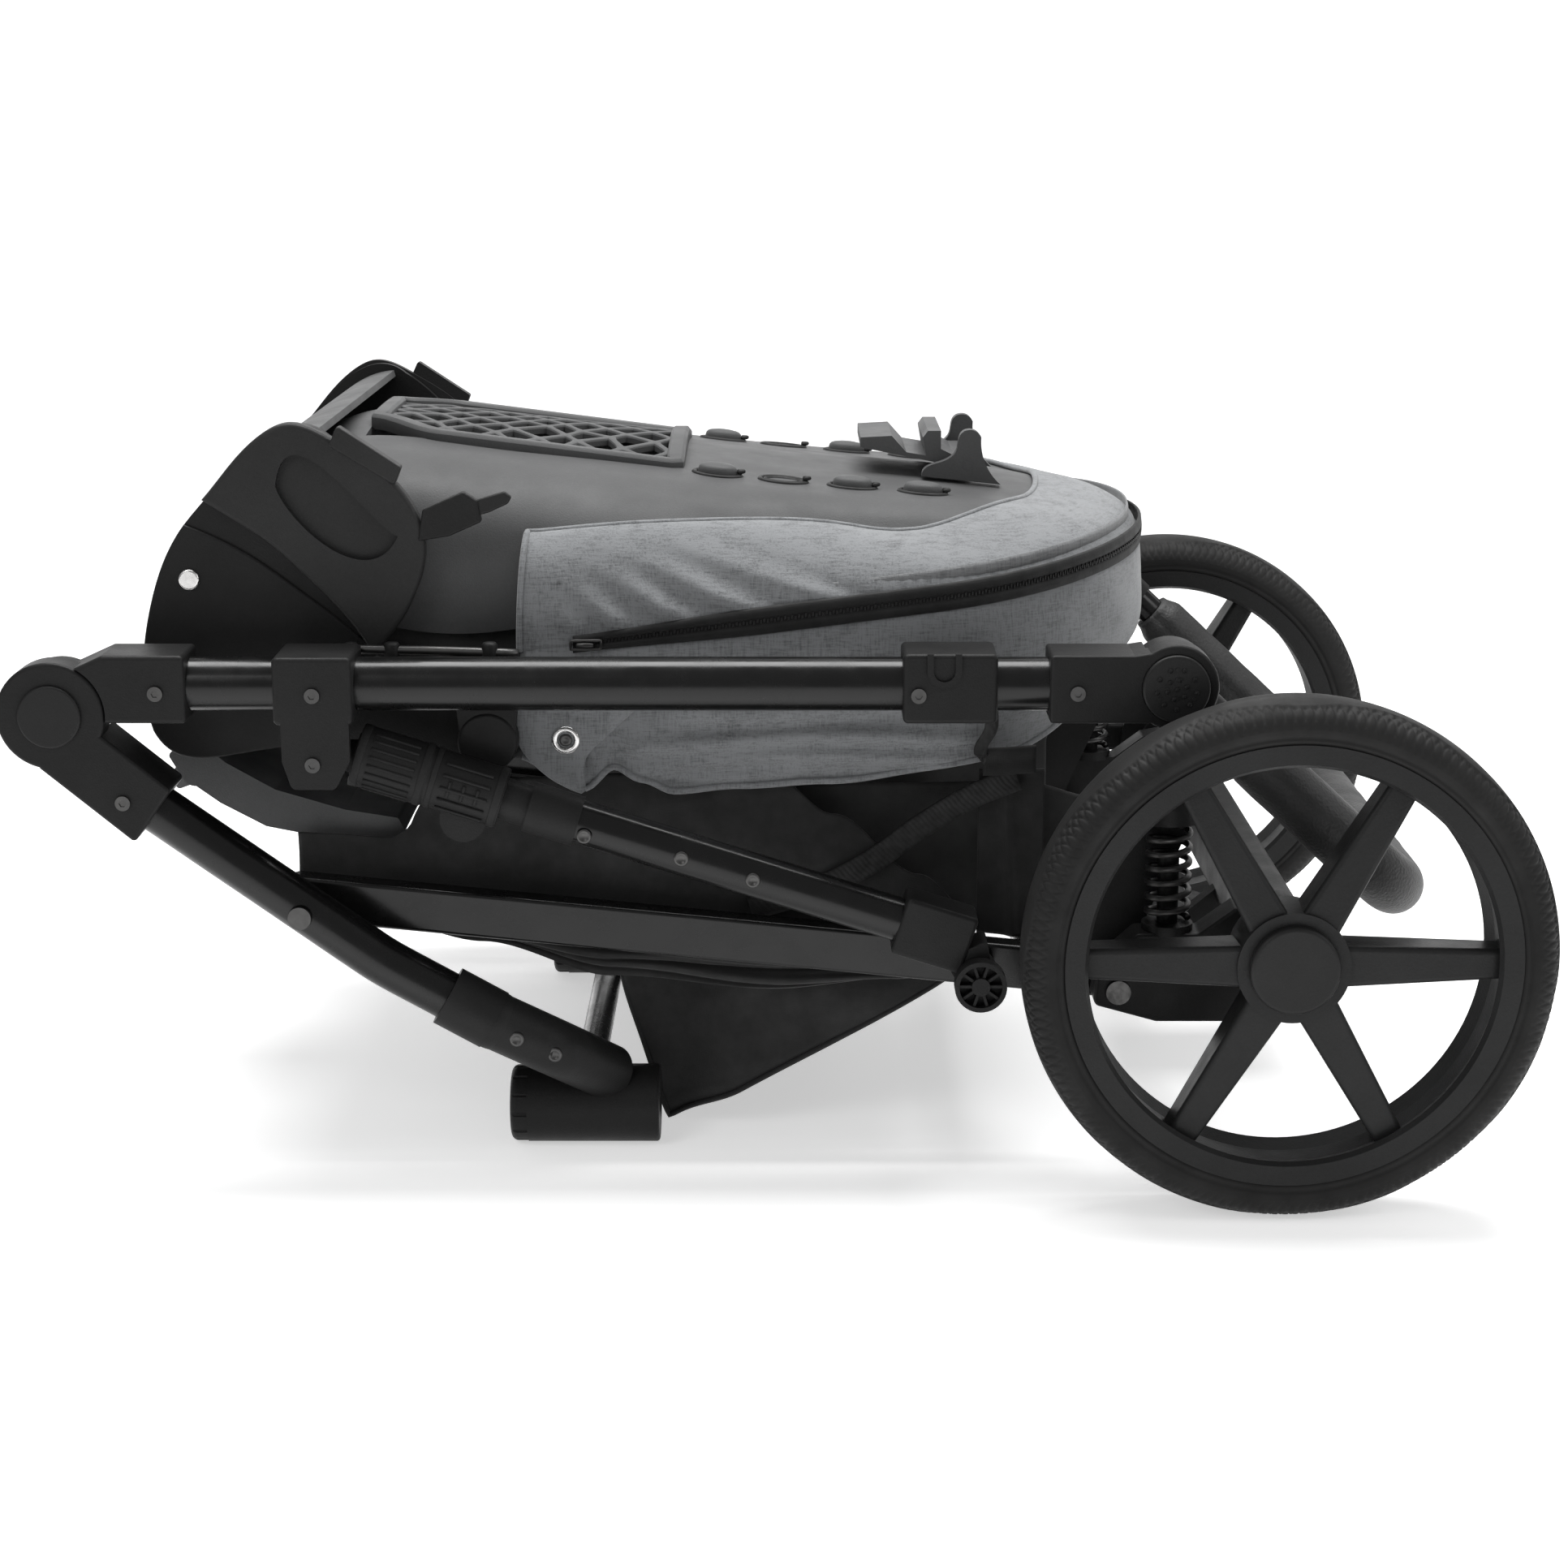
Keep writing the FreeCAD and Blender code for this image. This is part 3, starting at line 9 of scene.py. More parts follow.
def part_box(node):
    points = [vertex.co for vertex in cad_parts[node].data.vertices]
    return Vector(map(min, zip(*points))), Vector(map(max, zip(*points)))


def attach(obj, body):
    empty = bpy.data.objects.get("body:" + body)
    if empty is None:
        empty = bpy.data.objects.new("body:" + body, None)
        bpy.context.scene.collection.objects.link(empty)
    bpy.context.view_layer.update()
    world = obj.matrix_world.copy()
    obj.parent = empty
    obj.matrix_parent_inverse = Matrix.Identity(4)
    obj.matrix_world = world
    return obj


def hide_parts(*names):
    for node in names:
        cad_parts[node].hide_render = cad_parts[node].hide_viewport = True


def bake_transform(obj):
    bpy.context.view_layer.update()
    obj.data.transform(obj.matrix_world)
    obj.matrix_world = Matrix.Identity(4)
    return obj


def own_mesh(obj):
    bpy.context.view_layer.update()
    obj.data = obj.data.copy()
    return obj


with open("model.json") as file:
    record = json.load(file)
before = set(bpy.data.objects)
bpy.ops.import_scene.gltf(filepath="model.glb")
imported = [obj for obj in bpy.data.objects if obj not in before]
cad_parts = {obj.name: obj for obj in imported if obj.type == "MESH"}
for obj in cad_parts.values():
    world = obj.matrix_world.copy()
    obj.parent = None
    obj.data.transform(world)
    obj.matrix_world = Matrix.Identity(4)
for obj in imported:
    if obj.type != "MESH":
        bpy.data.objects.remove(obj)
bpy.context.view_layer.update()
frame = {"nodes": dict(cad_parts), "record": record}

MM = 0.001
SIDES = {"near": -1, "far": 1}


# ---- places read from the frame ----------------------------------------------
def low(node):
    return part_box(node)[0] / MM


def high(node):
    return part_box(node)[1] / MM


def middle(node):
    return (low(node) + high(node)) / 2


AXLE_X = middle("wheel_tyre_near").x
AXLE_Z = middle("wheel_tyre_near").z
TRACK_Y = -middle("wheel_tyre_near").y
TYRE_RADIUS = high("wheel_tyre_near").z - AXLE_Z
TYRE_HALF_WIDTH = (high("wheel_tyre_near").y - low("wheel_tyre_near").y) / 2
CANOPY_LEFT = low("canopy_rear").x
CANOPY_RIGHT = high("canopy_rear").x
CANOPY_REACH = high("canopy_rear").y
SHELL_RIGHT = high("back_shell").x
VENT_LEFT, VENT_RIGHT = low("vent_panel").x, high("vent_panel").x
VENT_REACH = high("vent_panel").y
TUBE_Z = middle("push_tubes").z
TUBE_REACH = 225.0
CANOPY_TURN_X = 90.0
ZIP_LEFT = Vector((-140.0, 0.0, 300.0))
ZIP_RIGHT = Vector((240.0, 0.0, 349.0))


def zip_z(x):
    """Height of the hood's zip line at one place along the object."""
    return ZIP_LEFT.z + (x - ZIP_LEFT.x) * (ZIP_RIGHT.z - ZIP_LEFT.z) / (ZIP_RIGHT.x - ZIP_LEFT.x)


def surface_z(node, x, y):
    """Height of a CAD node's top surface under a place, or None beside it."""
    top = Vector((x * MM, y * MM, 1.0))
    hit, where, _, _ = frame["nodes"][node].ray_cast(top, Vector((0, 0, -1)))
    return where.z / MM if hit else None


# ---- small maths -------------------------------------------------------------
def mix(a, b, t):
    return a + (b - a) * t


def ease(t):
    t = min(max(t, 0.0), 1.0)
    return t * t * (3 - 2 * t)


def bump(x, centre, width):
    """A smooth hill of height 1 round a centre."""
    return math.exp(-((x - centre) / width) ** 2)


def ramp(x, points):
    """A smooth value at x from (x, value) points in rising order."""
    if x <= points[0][0]:
        return points[0][1]
    for (x0, v0), (x1, v1) in zip(points, points[1:]):
        if x <= x1:
            return mix(v0, v1, ease((x - x0) / (x1 - x0)))
    return points[-1][1]


def catmull(points, per_span=12):
    """A smooth line through given points."""
    ends = [points[0] * 2 - points[1]] + list(points) + [points[-1] * 2 - points[-2]]
    line = []
    for a, b, c, d in zip(ends, ends[1:], ends[2:], ends[3:]):
        for step in range(per_span):
            t = step / per_span
            line.append(0.5 * (2 * b + (c - a) * t + (2 * a - 5 * b + 4 * c - d) * t ** 2
                               + (3 * b - a - 3 * c + d) * t ** 3))
    return line + [points[-1].copy()]


def even(line, count, closed=False):
    """The same line with evenly spaced points."""
    if closed:
        line = line + [line[0]]
    lengths = [0.0]
    for a, b in zip(line, line[1:]):
        lengths.append(lengths[-1] + (b - a).length)
    steps = count if closed else count - 1
    out, at = [], 0
    for index in range(count):
        want = lengths[-1] * index / steps
        while at < len(lengths) - 2 and lengths[at + 1] < want:
            at += 1
        span = max(lengths[at + 1] - lengths[at], 1e-9)
        out.append(line[at].lerp(line[at + 1], (want - lengths[at]) / span))
    return out


# ---- materials ---------------------------------------------------------------
class Shading:
    """One procedural material on a Principled shader."""

    def __init__(self, name, roughness=0.5, metallic=0.0, specular=0.5):
        self.material = bpy.data.materials.new(name)
        self.material.use_nodes = True
        self.tree = self.material.node_tree
        self.tree.nodes.clear()
        self.out = self.tree.nodes.new("ShaderNodeOutputMaterial")
        self.shader = self.tree.nodes.new("ShaderNodeBsdfPrincipled")
        self.link(self.shader.outputs[0], self.out.inputs[0])
        self.shader.inputs["Roughness"].default_value = roughness
        self.shader.inputs["Metallic"].default_value = metallic
        self.shader.inputs["Specular IOR Level"].default_value = specular
        self.place = self.tree.nodes.new("ShaderNodeTexCoord").outputs["Object"]

    def link(self, start, end):
        self.tree.links.new(start, end)

    def stretched(self, scale):
        node = self.tree.nodes.new("ShaderNodeMapping")
        node.inputs["Scale"].default_value = scale
        self.link(self.place, node.inputs["Vector"])
        return node.outputs[0]

    def noise(self, scale, detail=3.0, stretch=None, roughness=0.55):
        node = self.tree.nodes.new("ShaderNodeTexNoise")
        node.inputs["Scale"].default_value = scale
        node.inputs["Detail"].default_value = detail
        node.inputs["Roughness"].default_value = roughness
        self.link(self.stretched(stretch) if stretch else self.place, node.inputs["Vector"])
        return node.outputs["Fac"]

    def cells(self, scale):
        node = self.tree.nodes.new("ShaderNodeTexVoronoi")
        node.inputs["Scale"].default_value = scale
        self.link(self.place, node.inputs["Vector"])
        return node.outputs["Distance"]

    def waves(self, scale, direction, distortion=0.0):
        node = self.tree.nodes.new("ShaderNodeTexWave")
        node.bands_direction = direction
        node.inputs["Scale"].default_value = scale
        node.inputs["Distortion"].default_value = distortion
        node.inputs["Detail"].default_value = 1.0
        self.link(self.place, node.inputs["Vector"])
        return node.outputs["Fac"]

    def math(self, operation, a, b):
        node = self.tree.nodes.new("ShaderNodeMath")
        node.operation = operation
        for socket, value in zip(node.inputs, (a, b)):
            if isinstance(value, (int, float)):
                socket.default_value = value
            else:
                self.link(value, socket)
        return node.outputs[0]

    def between(self, value, start, end, from_low=0.0, from_high=1.0):
        node = self.tree.nodes.new("ShaderNodeMapRange")
        node.inputs["From Min"].default_value = from_low
        node.inputs["From Max"].default_value = from_high
        node.inputs["To Min"].default_value = start
        node.inputs["To Max"].default_value = end
        self.link(value, node.inputs["Value"])
        return node.outputs[0]

    def colours(self, value, stops):
        node = self.tree.nodes.new("ShaderNodeValToRGB")
        node.color_ramp.elements[0].position = stops[0][0]
        node.color_ramp.elements[0].color = (*stops[0][1], 1)
        node.color_ramp.elements[1].position = stops[-1][0]
        node.color_ramp.elements[1].color = (*stops[-1][1], 1)
        for position, colour in stops[1:-1]:
            node.color_ramp.elements.new(position).color = (*colour, 1)
        self.link(value, node.inputs["Fac"])
        return node.outputs["Color"]

    def base(self, colour):
        self.link(colour, self.shader.inputs["Base Color"])

    def rough(self, value):
        self.link(value, self.shader.inputs["Roughness"])

    def relief(self, height, strength, distance):
        node = self.tree.nodes.new("ShaderNodeBump")
        node.inputs["Strength"].default_value = strength
        node.inputs["Distance"].default_value = distance
        self.link(height, node.inputs["Height"])
        self.link(node.outputs[0], self.shader.inputs["Normal"])


def grey(value, tint=0.0):
    """A grey with a slight warm or cool tint."""
    return (value * (1 + tint), value, value * (1 - tint))


def painted_tube():
    m = Shading("tube_gloss_black", roughness=0.2, specular=0.28)
    flow = m.noise(6, 2, stretch=(0.15, 1, 1))
    m.base(m.colours(flow, [(0.3, grey(0.003)), (0.75, grey(0.006))]))
    m.rough(m.between(m.noise(55, 5), 0.2, 0.32, 0.35, 0.7))
    m.relief(m.noise(260, 2), 0.08, 0.0004)
    m.shader.inputs["Coat Weight"].default_value = 0.12
    m.shader.inputs["Coat Roughness"].default_value = 0.14
    return m.material


def moulded_plastic(name, dark, light, roughness, grain=1100.0, depth=0.35):
    """Injection-moulded plastic with a spark-eroded grain and faint flow marks."""
    m = Shading(name, roughness=roughness, specular=0.16)
    clouds = m.noise(14, 4)
    speckle = m.noise(grain * 0.6, 2)
    tone = m.math("ADD", m.math("MULTIPLY", clouds, 0.7), m.math("MULTIPLY", speckle, 0.3))
    m.base(m.colours(tone, [(0.3, dark), (0.7, light)]))
    m.rough(m.between(m.noise(40, 5), roughness - 0.07, roughness + 0.08, 0.3, 0.7))
    grains = m.math("ADD", m.noise(grain, 2), m.math("MULTIPLY", m.cells(grain * 0.8), 0.5))
    m.relief(grains, depth, 0.0003)
    return m.material


def tyre_rubber():
    m = Shading("tyre_rubber", roughness=0.62, specular=0.2)
    dust = m.noise(9, 5)
    m.base(m.colours(dust, [(0.32, grey(0.008)), (0.72, grey(0.016, 0.02))]))
    m.rough(m.between(m.noise(70, 4), 0.55, 0.75, 0.3, 0.7))
    m.relief(m.noise(1600, 3), 0.25, 0.0003)
    return m.material


def metal(name, value, roughness, brushed=(1, 1, 1)):
    m = Shading(name, roughness=roughness, metallic=1.0)
    m.base(m.colours(m.noise(30, 4), [(0.3, grey(value * 0.8)), (0.7, grey(value, 0.02))]))
    m.rough(m.between(m.noise(300, 4, stretch=brushed), roughness - 0.08, roughness + 0.12, 0.3, 0.7))
    m.relief(m.noise(900, 2, stretch=brushed), 0.08, 0.0002)
    return m.material


def heather_fabric(name, dark, light, streak=1.0):
    """Melange cloth: light and dark threads mixed along and across the weave."""
    m = Shading(name, roughness=0.92, specular=0.2)
    upright = m.noise(1, 3, stretch=(900, 900, 85), roughness=0.7)
    level = m.noise(1, 3, stretch=(110, 110, 1000), roughness=0.7)
    blotch = m.noise(60, 3)
    threads = m.math("ADD", m.math("MULTIPLY", upright, 0.5), m.math("MULTIPLY", level, 0.5))
    tone = m.math("ADD", m.math("MULTIPLY", threads, streak), m.math("MULTIPLY", blotch, 1 - 0.75 * streak))
    middle_tone = tuple((a + b) / 2 for a, b in zip(dark, light))
    m.base(m.colours(tone, [(0.36, dark), (0.5, middle_tone), (0.66, light)]))
    weave = m.math("MULTIPLY", m.noise(1, 1, stretch=(1500, 1500, 300)),
                   m.noise(1, 1, stretch=(300, 300, 1500)))
    m.relief(weave, 0.5, 0.0006)
    m.shader.inputs["Sheen Weight"].default_value = 0.25
    m.shader.inputs["Sheen Roughness"].default_value = 0.5
    return m.material


def plain_fabric(name, dark, light, sheen=0.12):
    """Tightly woven synthetic cloth with a dull sheen."""
    m = Shading(name, roughness=0.74, specular=0.3)
    m.base(m.colours(m.noise(25, 5), [(0.3, dark), (0.7, light)]))
    m.rough(m.between(m.noise(90, 3), 0.64, 0.82, 0.3, 0.7))
    weave = m.math("MULTIPLY", m.noise(1, 1, stretch=(1700, 1700, 260)),
                   m.noise(1, 1, stretch=(260, 260, 1700)))
    m.relief(weave, 0.45, 0.0005)
    m.shader.inputs["Sheen Weight"].default_value = sheen
    return m.material


def webbing():
    m = Shading("webbing_black", roughness=0.66, specular=0.3)
    m.base(m.colours(m.noise(180, 3), [(0.3, grey(0.008)), (0.7, grey(0.02))]))
    m.relief(m.waves(170, "DIAGONAL", 0.6), 0.35, 0.0006)
    return m.material


def grip_leather():
    """Leatherette with fine pebbles, worn a little smoother in places."""
    m = Shading("grip_leatherette", roughness=0.52, specular=0.4)
    m.base(m.colours(m.noise(30, 4), [(0.3, grey(0.02)), (0.7, grey(0.033))]))
    m.rough(m.between(m.noise(22, 3), 0.42, 0.62, 0.3, 0.7))
    pebbles = m.math("ADD", m.cells(520), m.math("MULTIPLY", m.cells(1300), 0.4))
    m.relief(pebbles, 0.4, 0.0007)
    return m.material


BLACK_PLASTIC = moulded_plastic("plastic_black", grey(0.0095), grey(0.0155), 0.46)
SATIN_BLACK = moulded_plastic("plastic_satin_black", grey(0.013), grey(0.02), 0.36, grain=1500, depth=0.2)
RIM_PLASTIC = moulded_plastic("plastic_rim_graphite", grey(0.013), grey(0.02, -0.01), 0.42, grain=900)
SHELL_PLASTIC = moulded_plastic("plastic_shell_grey", grey(0.064, -0.01), grey(0.086, -0.01), 0.5, grain=1300)
LOOP_PLASTIC = moulded_plastic("plastic_loop_charcoal", grey(0.018), grey(0.027), 0.44, grain=1300)
SOFT_RUBBER = moulded_plastic("rubber_soft_black", grey(0.012), grey(0.02), 0.6, grain=700)
TUBE_PAINT = painted_tube()
TYRE_RUBBER = tyre_rubber()
STEEL = metal("steel_dark_zinc", 0.09, 0.38)
BRIGHT_STEEL = metal("steel_bright", 0.78, 0.22)
SPRING_STEEL = metal("steel_spring_black", 0.09, 0.4)
GREY_FABRIC = heather_fabric("fabric_grey_melange", grey(0.05, -0.03), grey(0.21, -0.03))
DEEP_FABRIC = heather_fabric("fabric_grey_melange_deep", grey(0.045, -0.02), grey(0.17, -0.02))
BLACK_FABRIC = plain_fabric("fabric_black", grey(0.007), grey(0.014))
ZIP_TAPE = plain_fabric("fabric_zip_tape", grey(0.006), grey(0.012), sheen=0.05)
LINING_FABRIC = plain_fabric("fabric_lining_charcoal", grey(0.02), grey(0.035))
WEBBING = webbing()
GRIP_LEATHER = grip_leather()

SLOT_MATERIALS = {
    "frame_paint": TUBE_PAINT,
    "black_plastic": BLACK_PLASTIC,
    "rim_plastic": RIM_PLASTIC,
    "shell_plastic": SHELL_PLASTIC,
    "tyre_rubber": TYRE_RUBBER,
    "soft_rubber": SOFT_RUBBER,
    "steel": STEEL,
    "bright_steel": BRIGHT_STEEL,
    "spring_steel": SPRING_STEEL,
    "grey_fabric": GREY_FABRIC,
    "black_fabric": BLACK_FABRIC,
    "grip_leather": GRIP_LEATHER,
}
NODE_MATERIALS = {
    "recline_loops": LOOP_PLASTIC,
    "handle_button_near": SATIN_BLACK,
    "handle_button_far": SATIN_BLACK,
    "hinge_caps": SATIN_BLACK,
    "wheel_cap_near": SATIN_BLACK,
    "wheel_cap_far": SATIN_BLACK,
}


def paint_frame():
    """Gives every CAD node the material of its slot, or its own."""
    slots = {entry["node"]: entry["material_slot"] for entry in frame["record"]["subparts"]}
    for name, node in frame["nodes"].items():
        material = NODE_MATERIALS.get(name) or SLOT_MATERIALS[slots[name]]
        node.data.materials.clear()
        node.data.materials.append(material)


# ---- mesh building -----------------------------------------------------------
def piece(name, body, points, faces, material, smooth=True):
    """A mesh piece, from millimetres, that rides on a body."""
    mesh = bpy.data.meshes.new(name)
    mesh.from_pydata([Vector(p) * MM for p in points], [], faces)
    mesh.materials.append(material)
    mesh.update()
    if smooth:
        mesh.shade_smooth()
    thing = bpy.data.objects.new(name, mesh)
    bpy.context.scene.collection.objects.link(thing)
    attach(thing, body)
    return thing


def grid_faces(columns, rows, around=False):
    """Quads of a grid whose points run along each column's rows."""
    faces = []
    for i in range(columns if around else columns - 1):
        k = (i + 1) % columns
        for j in range(rows - 1):
            faces.append((i * rows + j, k * rows + j, k * rows + j + 1, i * rows + j + 1))
    return faces


def thicken(thing, thickness, offset=-1.0):
    modifier = thing.modifiers.new("thickness", "SOLIDIFY")
    modifier.thickness = thickness * MM
    modifier.offset = offset
    return thing


def smoothed(thing, levels=1):
    modifier = thing.modifiers.new("smooth", "SUBSURF")
    modifier.levels = levels
    modifier.render_levels = levels
    return thing


def bevelled(thing, width, segments=2):
    modifier = thing.modifiers.new("edges", "BEVEL")
    modifier.width = width * MM
    modifier.segments = segments
    modifier.limit_method = "ANGLE"
    return thing


def frames_along(line, closed=False):
    """(point, side, up) along a line, with a frame that doesn't twist."""
    out = []
    side = None
    for index, here in enumerate(line):
        before = line[index - 1] if index or closed else here
        after = line[(index + 1) % len(line)] if closed or index + 1 < len(line) else here
        ahead = (after - before).normalized()
        if side is None:
            start = Vector((0, 0, 1)) if abs(ahead.z) < 0.9 else Vector((0, 1, 0))
            side = ahead.cross(start).normalized()
        side = (side - ahead * side.dot(ahead)).normalized()
        out.append((here, side, ahead.cross(side)))
    return out


def swept(name, body, line, section, material, closed=False, caps=True, scale=None):
    """A tube along a line, with a closed section of (across, up) points in millimetres."""
    count = len(section)
    points, faces = [], []
    for index, (here, side, up) in enumerate(frames_along(line, closed)):
        grow = scale(index / (len(line) - 1)) if scale else 1.0
        points += [here + side * a * grow + up * b * grow for a, b in section]
    rings = len(line)
    for i in range(rings if closed else rings - 1):
        k = (i + 1) % rings
        for j in range(count):
            n = (j + 1) % count
            faces.append((i * count + j, i * count + n, k * count + n, k * count + j))
    if caps and not closed:
        faces.append(tuple(range(count))[::-1])
        faces.append(tuple((rings - 1) * count + j for j in range(count)))
    return piece(name, body, points, faces, material)


def circle(radius, count=16, squash=1.0):
    return [(radius * math.cos(2 * math.pi * i / count), radius * squash * math.sin(2 * math.pi * i / count))
            for i in range(count)]


def joined(name, things):
    """Several pieces of one body as one piece with one mesh."""
    bpy.ops.object.select_all(action="DESELECT")
    for thing in things:
        thing.select_set(True)
    bpy.context.view_layer.objects.active = things[0]
    bpy.ops.object.join()
    things[0].name = name
    return things[0]


# ---- tyres -------------------------------------------------------------------
TREAD_TURNS = 1400
TREAD_PITCH = 2.9
WAVES_ROUND = 9


def tyre_profile():
    """The tyre's section from bead to bead, as (radius, y) points."""
    half = TYRE_HALF_WIDTH
    crown = TYRE_RADIUS
    sides = [
        Vector((crown - 22.6, -half + 1.6)), Vector((crown - 20.4, -half + 0.6)), Vector((crown - 18.6,
                                                            -half + 1.3)),
        Vector((crown - 17.0, -half + 0.2)), Vector((crown - 12.0, -half)), Vector((crown - 7.0,
                                                            -half + 2.0)),
        Vector((crown - 3.4, -half + 5.8)), Vector((crown - 1.2, -half + 11.0)), Vector((crown - 0.2,
                                                            -half + 17.0)),
        Vector((crown - 0.1, 0.0)),
    ]
    line = even(catmull([Vector((p.x, p.y, 0)) for p in sides], 8), 44)
    return line + [Vector((p.x, -p.y, 0)) for p in reversed(line[:-1])]


def tread_depth(turn, y, radius):
    """How deep the tyre's surface lies at one place: hatched shoulders, a smooth middle."""
    edge = 11.5 + 4.0 * math.sin(turn * WAVES_ROUND) * abs(math.sin(turn * WAVES_ROUND)) ** 0.4
    inner = ease((abs(y) - edge) / 0.8)
    outer = ease((radius - (TYRE_RADIUS - 14.0)) / 1.2)
    if inner <= 0 or outer <= 0:
        return 0.0
    along = turn * TYRE_RADIUS / TREAD_PITCH
    across = (abs(y) - TYRE_RADIUS + radius) / TREAD_PITCH
    hatch = max(math.sin(math.pi * (along + across)), math.sin(math.pi * (along - across)))
    return (0.5 + 0.75 * ease((hatch - 0.35) / 0.5)) * inner * outer


def tyre(side):
    sign = SIDES[side]
    profile = tyre_profile()
    points = []
    for index in range(TREAD_TURNS):
        turn = 2 * math.pi * index / TREAD_TURNS
        for radius, y, _ in profile:
            r = radius - tread_depth(turn, y, radius)
            points.append((AXLE_X + r * math.cos(turn), sign * TRACK_Y + y, AXLE_Z + r * math.sin(turn)))
    thing = piece("tyre_" + side, "wheel_" + side, points, grid_faces(TREAD_TURNS, len(profile), around=True),
                  TYRE_RUBBER)
    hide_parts("wheel_tyre_" + side)


# ---- vent lattice ------------------------------------------------------------
VENT_COLUMNS = 13
VENT_ROWS = 4
STRUT_HALF_WIDTH = 2.3
STRUT_DEPTH = 5.0


def vent_edge(share):
    """Half the vent's width at a share of its length: rounded at the left end."""
    return VENT_REACH * (0.62 + 0.38 * ease(share / 0.22)) - 6.0


def vent_z(x, y):
    """The vent's surface: the shell's line, arched more towards the right."""
    share = (x - VENT_LEFT) / (VENT_RIGHT - VENT_LEFT)
    crown = mix(high("vent_panel").z + 1.0, high("vent_panel").z - 16.0, share)
    return crown - mix(2.0, 9.0, share) * (y / VENT_REACH) ** 2


def vent_nodes():
    """Crossing points of the lattice, on jittered diagonals, by (column, row)."""
    rng = random.Random(7)
    nodes = {}
    for column in range(VENT_COLUMNS + 1):
        for row in range(VENT_ROWS * 2 + 1):
            if (column + row) % 2:
                continue
            share = column / VENT_COLUMNS
            across = row / (VENT_ROWS * 2) * 2 - 1
            jitter = 0.0 if column in (0, VENT_COLUMNS) or row in (0, VENT_ROWS * 2) else 1.0
            x = mix(VENT_LEFT + 8, VENT_RIGHT - 8, share) + jitter * rng.uniform(-3.6, 3.6)
            y = across * vent_edge(share) + jitter * rng.uniform(-5.5, 5.5)
            nodes[column, row] = Vector((x, y, 0))
    return nodes


def lattice_strut(points, faces, a, b, width, depth):
    """One bar of the lattice with flared ends."""
    ahead = (b - a).normalized()
    side = Vector((-ahead.y, ahead.x, 0))
    steps = 7
    start = len(points)
    for index in range(steps):
        t = index / (steps - 1)
        half = width * (1 + 0.75 * (2 * t - 1) ** 4)
        here = a.lerp(b, t)
        for across, drop in ((-1, depth), (-1, 0.8), (-0.6, 0), (0.6, 0), (1, 0.8), (1, depth)):
            spot = here + side * half * across
            points.append(Vector((spot.x, spot.y, vent_z(spot.x, spot.y) - drop)))
    for i in range(steps - 1):
        for j in range(6):
            n = (j + 1) % 6
            faces.append((start + i * 6 + j, start + i * 6 + n, start + (i + 1) * 6 + n,
                          start + (i + 1) * 6 + j))


def vent_lattice():
    nodes = vent_nodes()
    points, faces = [], []
    for (column, row), here in nodes.items():
        for step in (-1, 1):
            there = nodes.get((column + 1, row + step))
            if there:
                lattice_strut(points, faces, here, there, STRUT_HALF_WIDTH, STRUT_DEPTH)
    web = piece("vent_lattice", "seat_back", points, faces, SHELL_PLASTIC, smooth=False)
    bevelled(web, 0.6, 1)
    outline = []
    for index in range(25):
        share = index / 24
        outline.append(Vector((mix(VENT_LEFT + 4, VENT_RIGHT - 4, share), -vent_edge(share) - 4, 0)))
    loop = outline + [Vector((p.x, -p.y, 0)) for p in reversed(outline)]
    line = even(loop, 150, closed=True)
    for spot in line:
        spot.z = vent_z(spot.x, spot.y) - 1.2
    section = [(-5.5, -5.0), (-5.5, 2.4), (-4.0, 4.2), (3.4, 4.2), (5.2, 2.0), (5.2, -5.0)]
    rail_points, rail_faces = [], []
    for index, here in enumerate(line):
        ahead = (line[(index + 1) % len(line)] - line[index - 1]).normalized()
        out = Vector((ahead.y, -ahead.x, 0)).normalized()
        rail_points += [here + out * a + Vector((0, 0, b)) for a, b in section]
    for i in range(len(line)):
        k = (i + 1) % len(line)
        for j in range(6):
            n = (j + 1) % 6
            rail_faces.append((i * 6 + j, i * 6 + n, k * 6 + n, k * 6 + j))
    rail = piece("vent_rail", "seat_back", rail_points, rail_faces, SHELL_PLASTIC)
    bevelled(rail, 1.0, 2)
    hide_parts("vent_panel")


# ---- shock springs -----------------------------------------------------------
COIL_RADIUS = 11.5
COIL_TURNS = 6.5
WIRE_RADIUS = 2.0


def shock_springs():
    """Two coils that hang from the towers, with the arms' cups at their lower ends."""
    bottom, top = low("shock_springs").z, high("shock_springs").z
    reach = high("shock_springs").y - COIL_RADIUS - WIRE_RADIUS
    centre_x = middle("shock_springs").x
    for side, sign in SIDES.items():
        line = []
        steps = int(COIL_TURNS * 22)
        for index in range(steps + 1):
            turn = 2 * math.pi * COIL_TURNS * index / steps
            z = mix(bottom + WIRE_RADIUS, top - WIRE_RADIUS, index / steps)
            line.append(Vector((centre_x + COIL_RADIUS * math.cos(turn),
                                sign * reach + COIL_RADIUS * math.sin(turn), z)))
        coil = swept("shock_spring_" + side, "lower_frame", line, circle(WIRE_RADIUS, 10), SPRING_STEEL)
        if side == "near":
            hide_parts("shock_springs")
        coil.parent = None
        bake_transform(coil)


# ---- hood --------------------------------------------------------------------
def hood_plan(reach, left, right, turn_x, count):
    """The hood's outline from above: straight sides and an elliptic rear end."""
    line = [Vector((left, -reach, 0)), Vector((turn_x, -reach, 0))]
    for index in range(1, 48):
        turn = math.pi * index / 48
        line.append(Vector((turn_x + (right - turn_x) * math.sin(turn), -reach * math.cos(turn), 0)))
    line += [Vector((turn_x, reach, 0)), Vector((left, reach, 0))]
    return even(line, count)


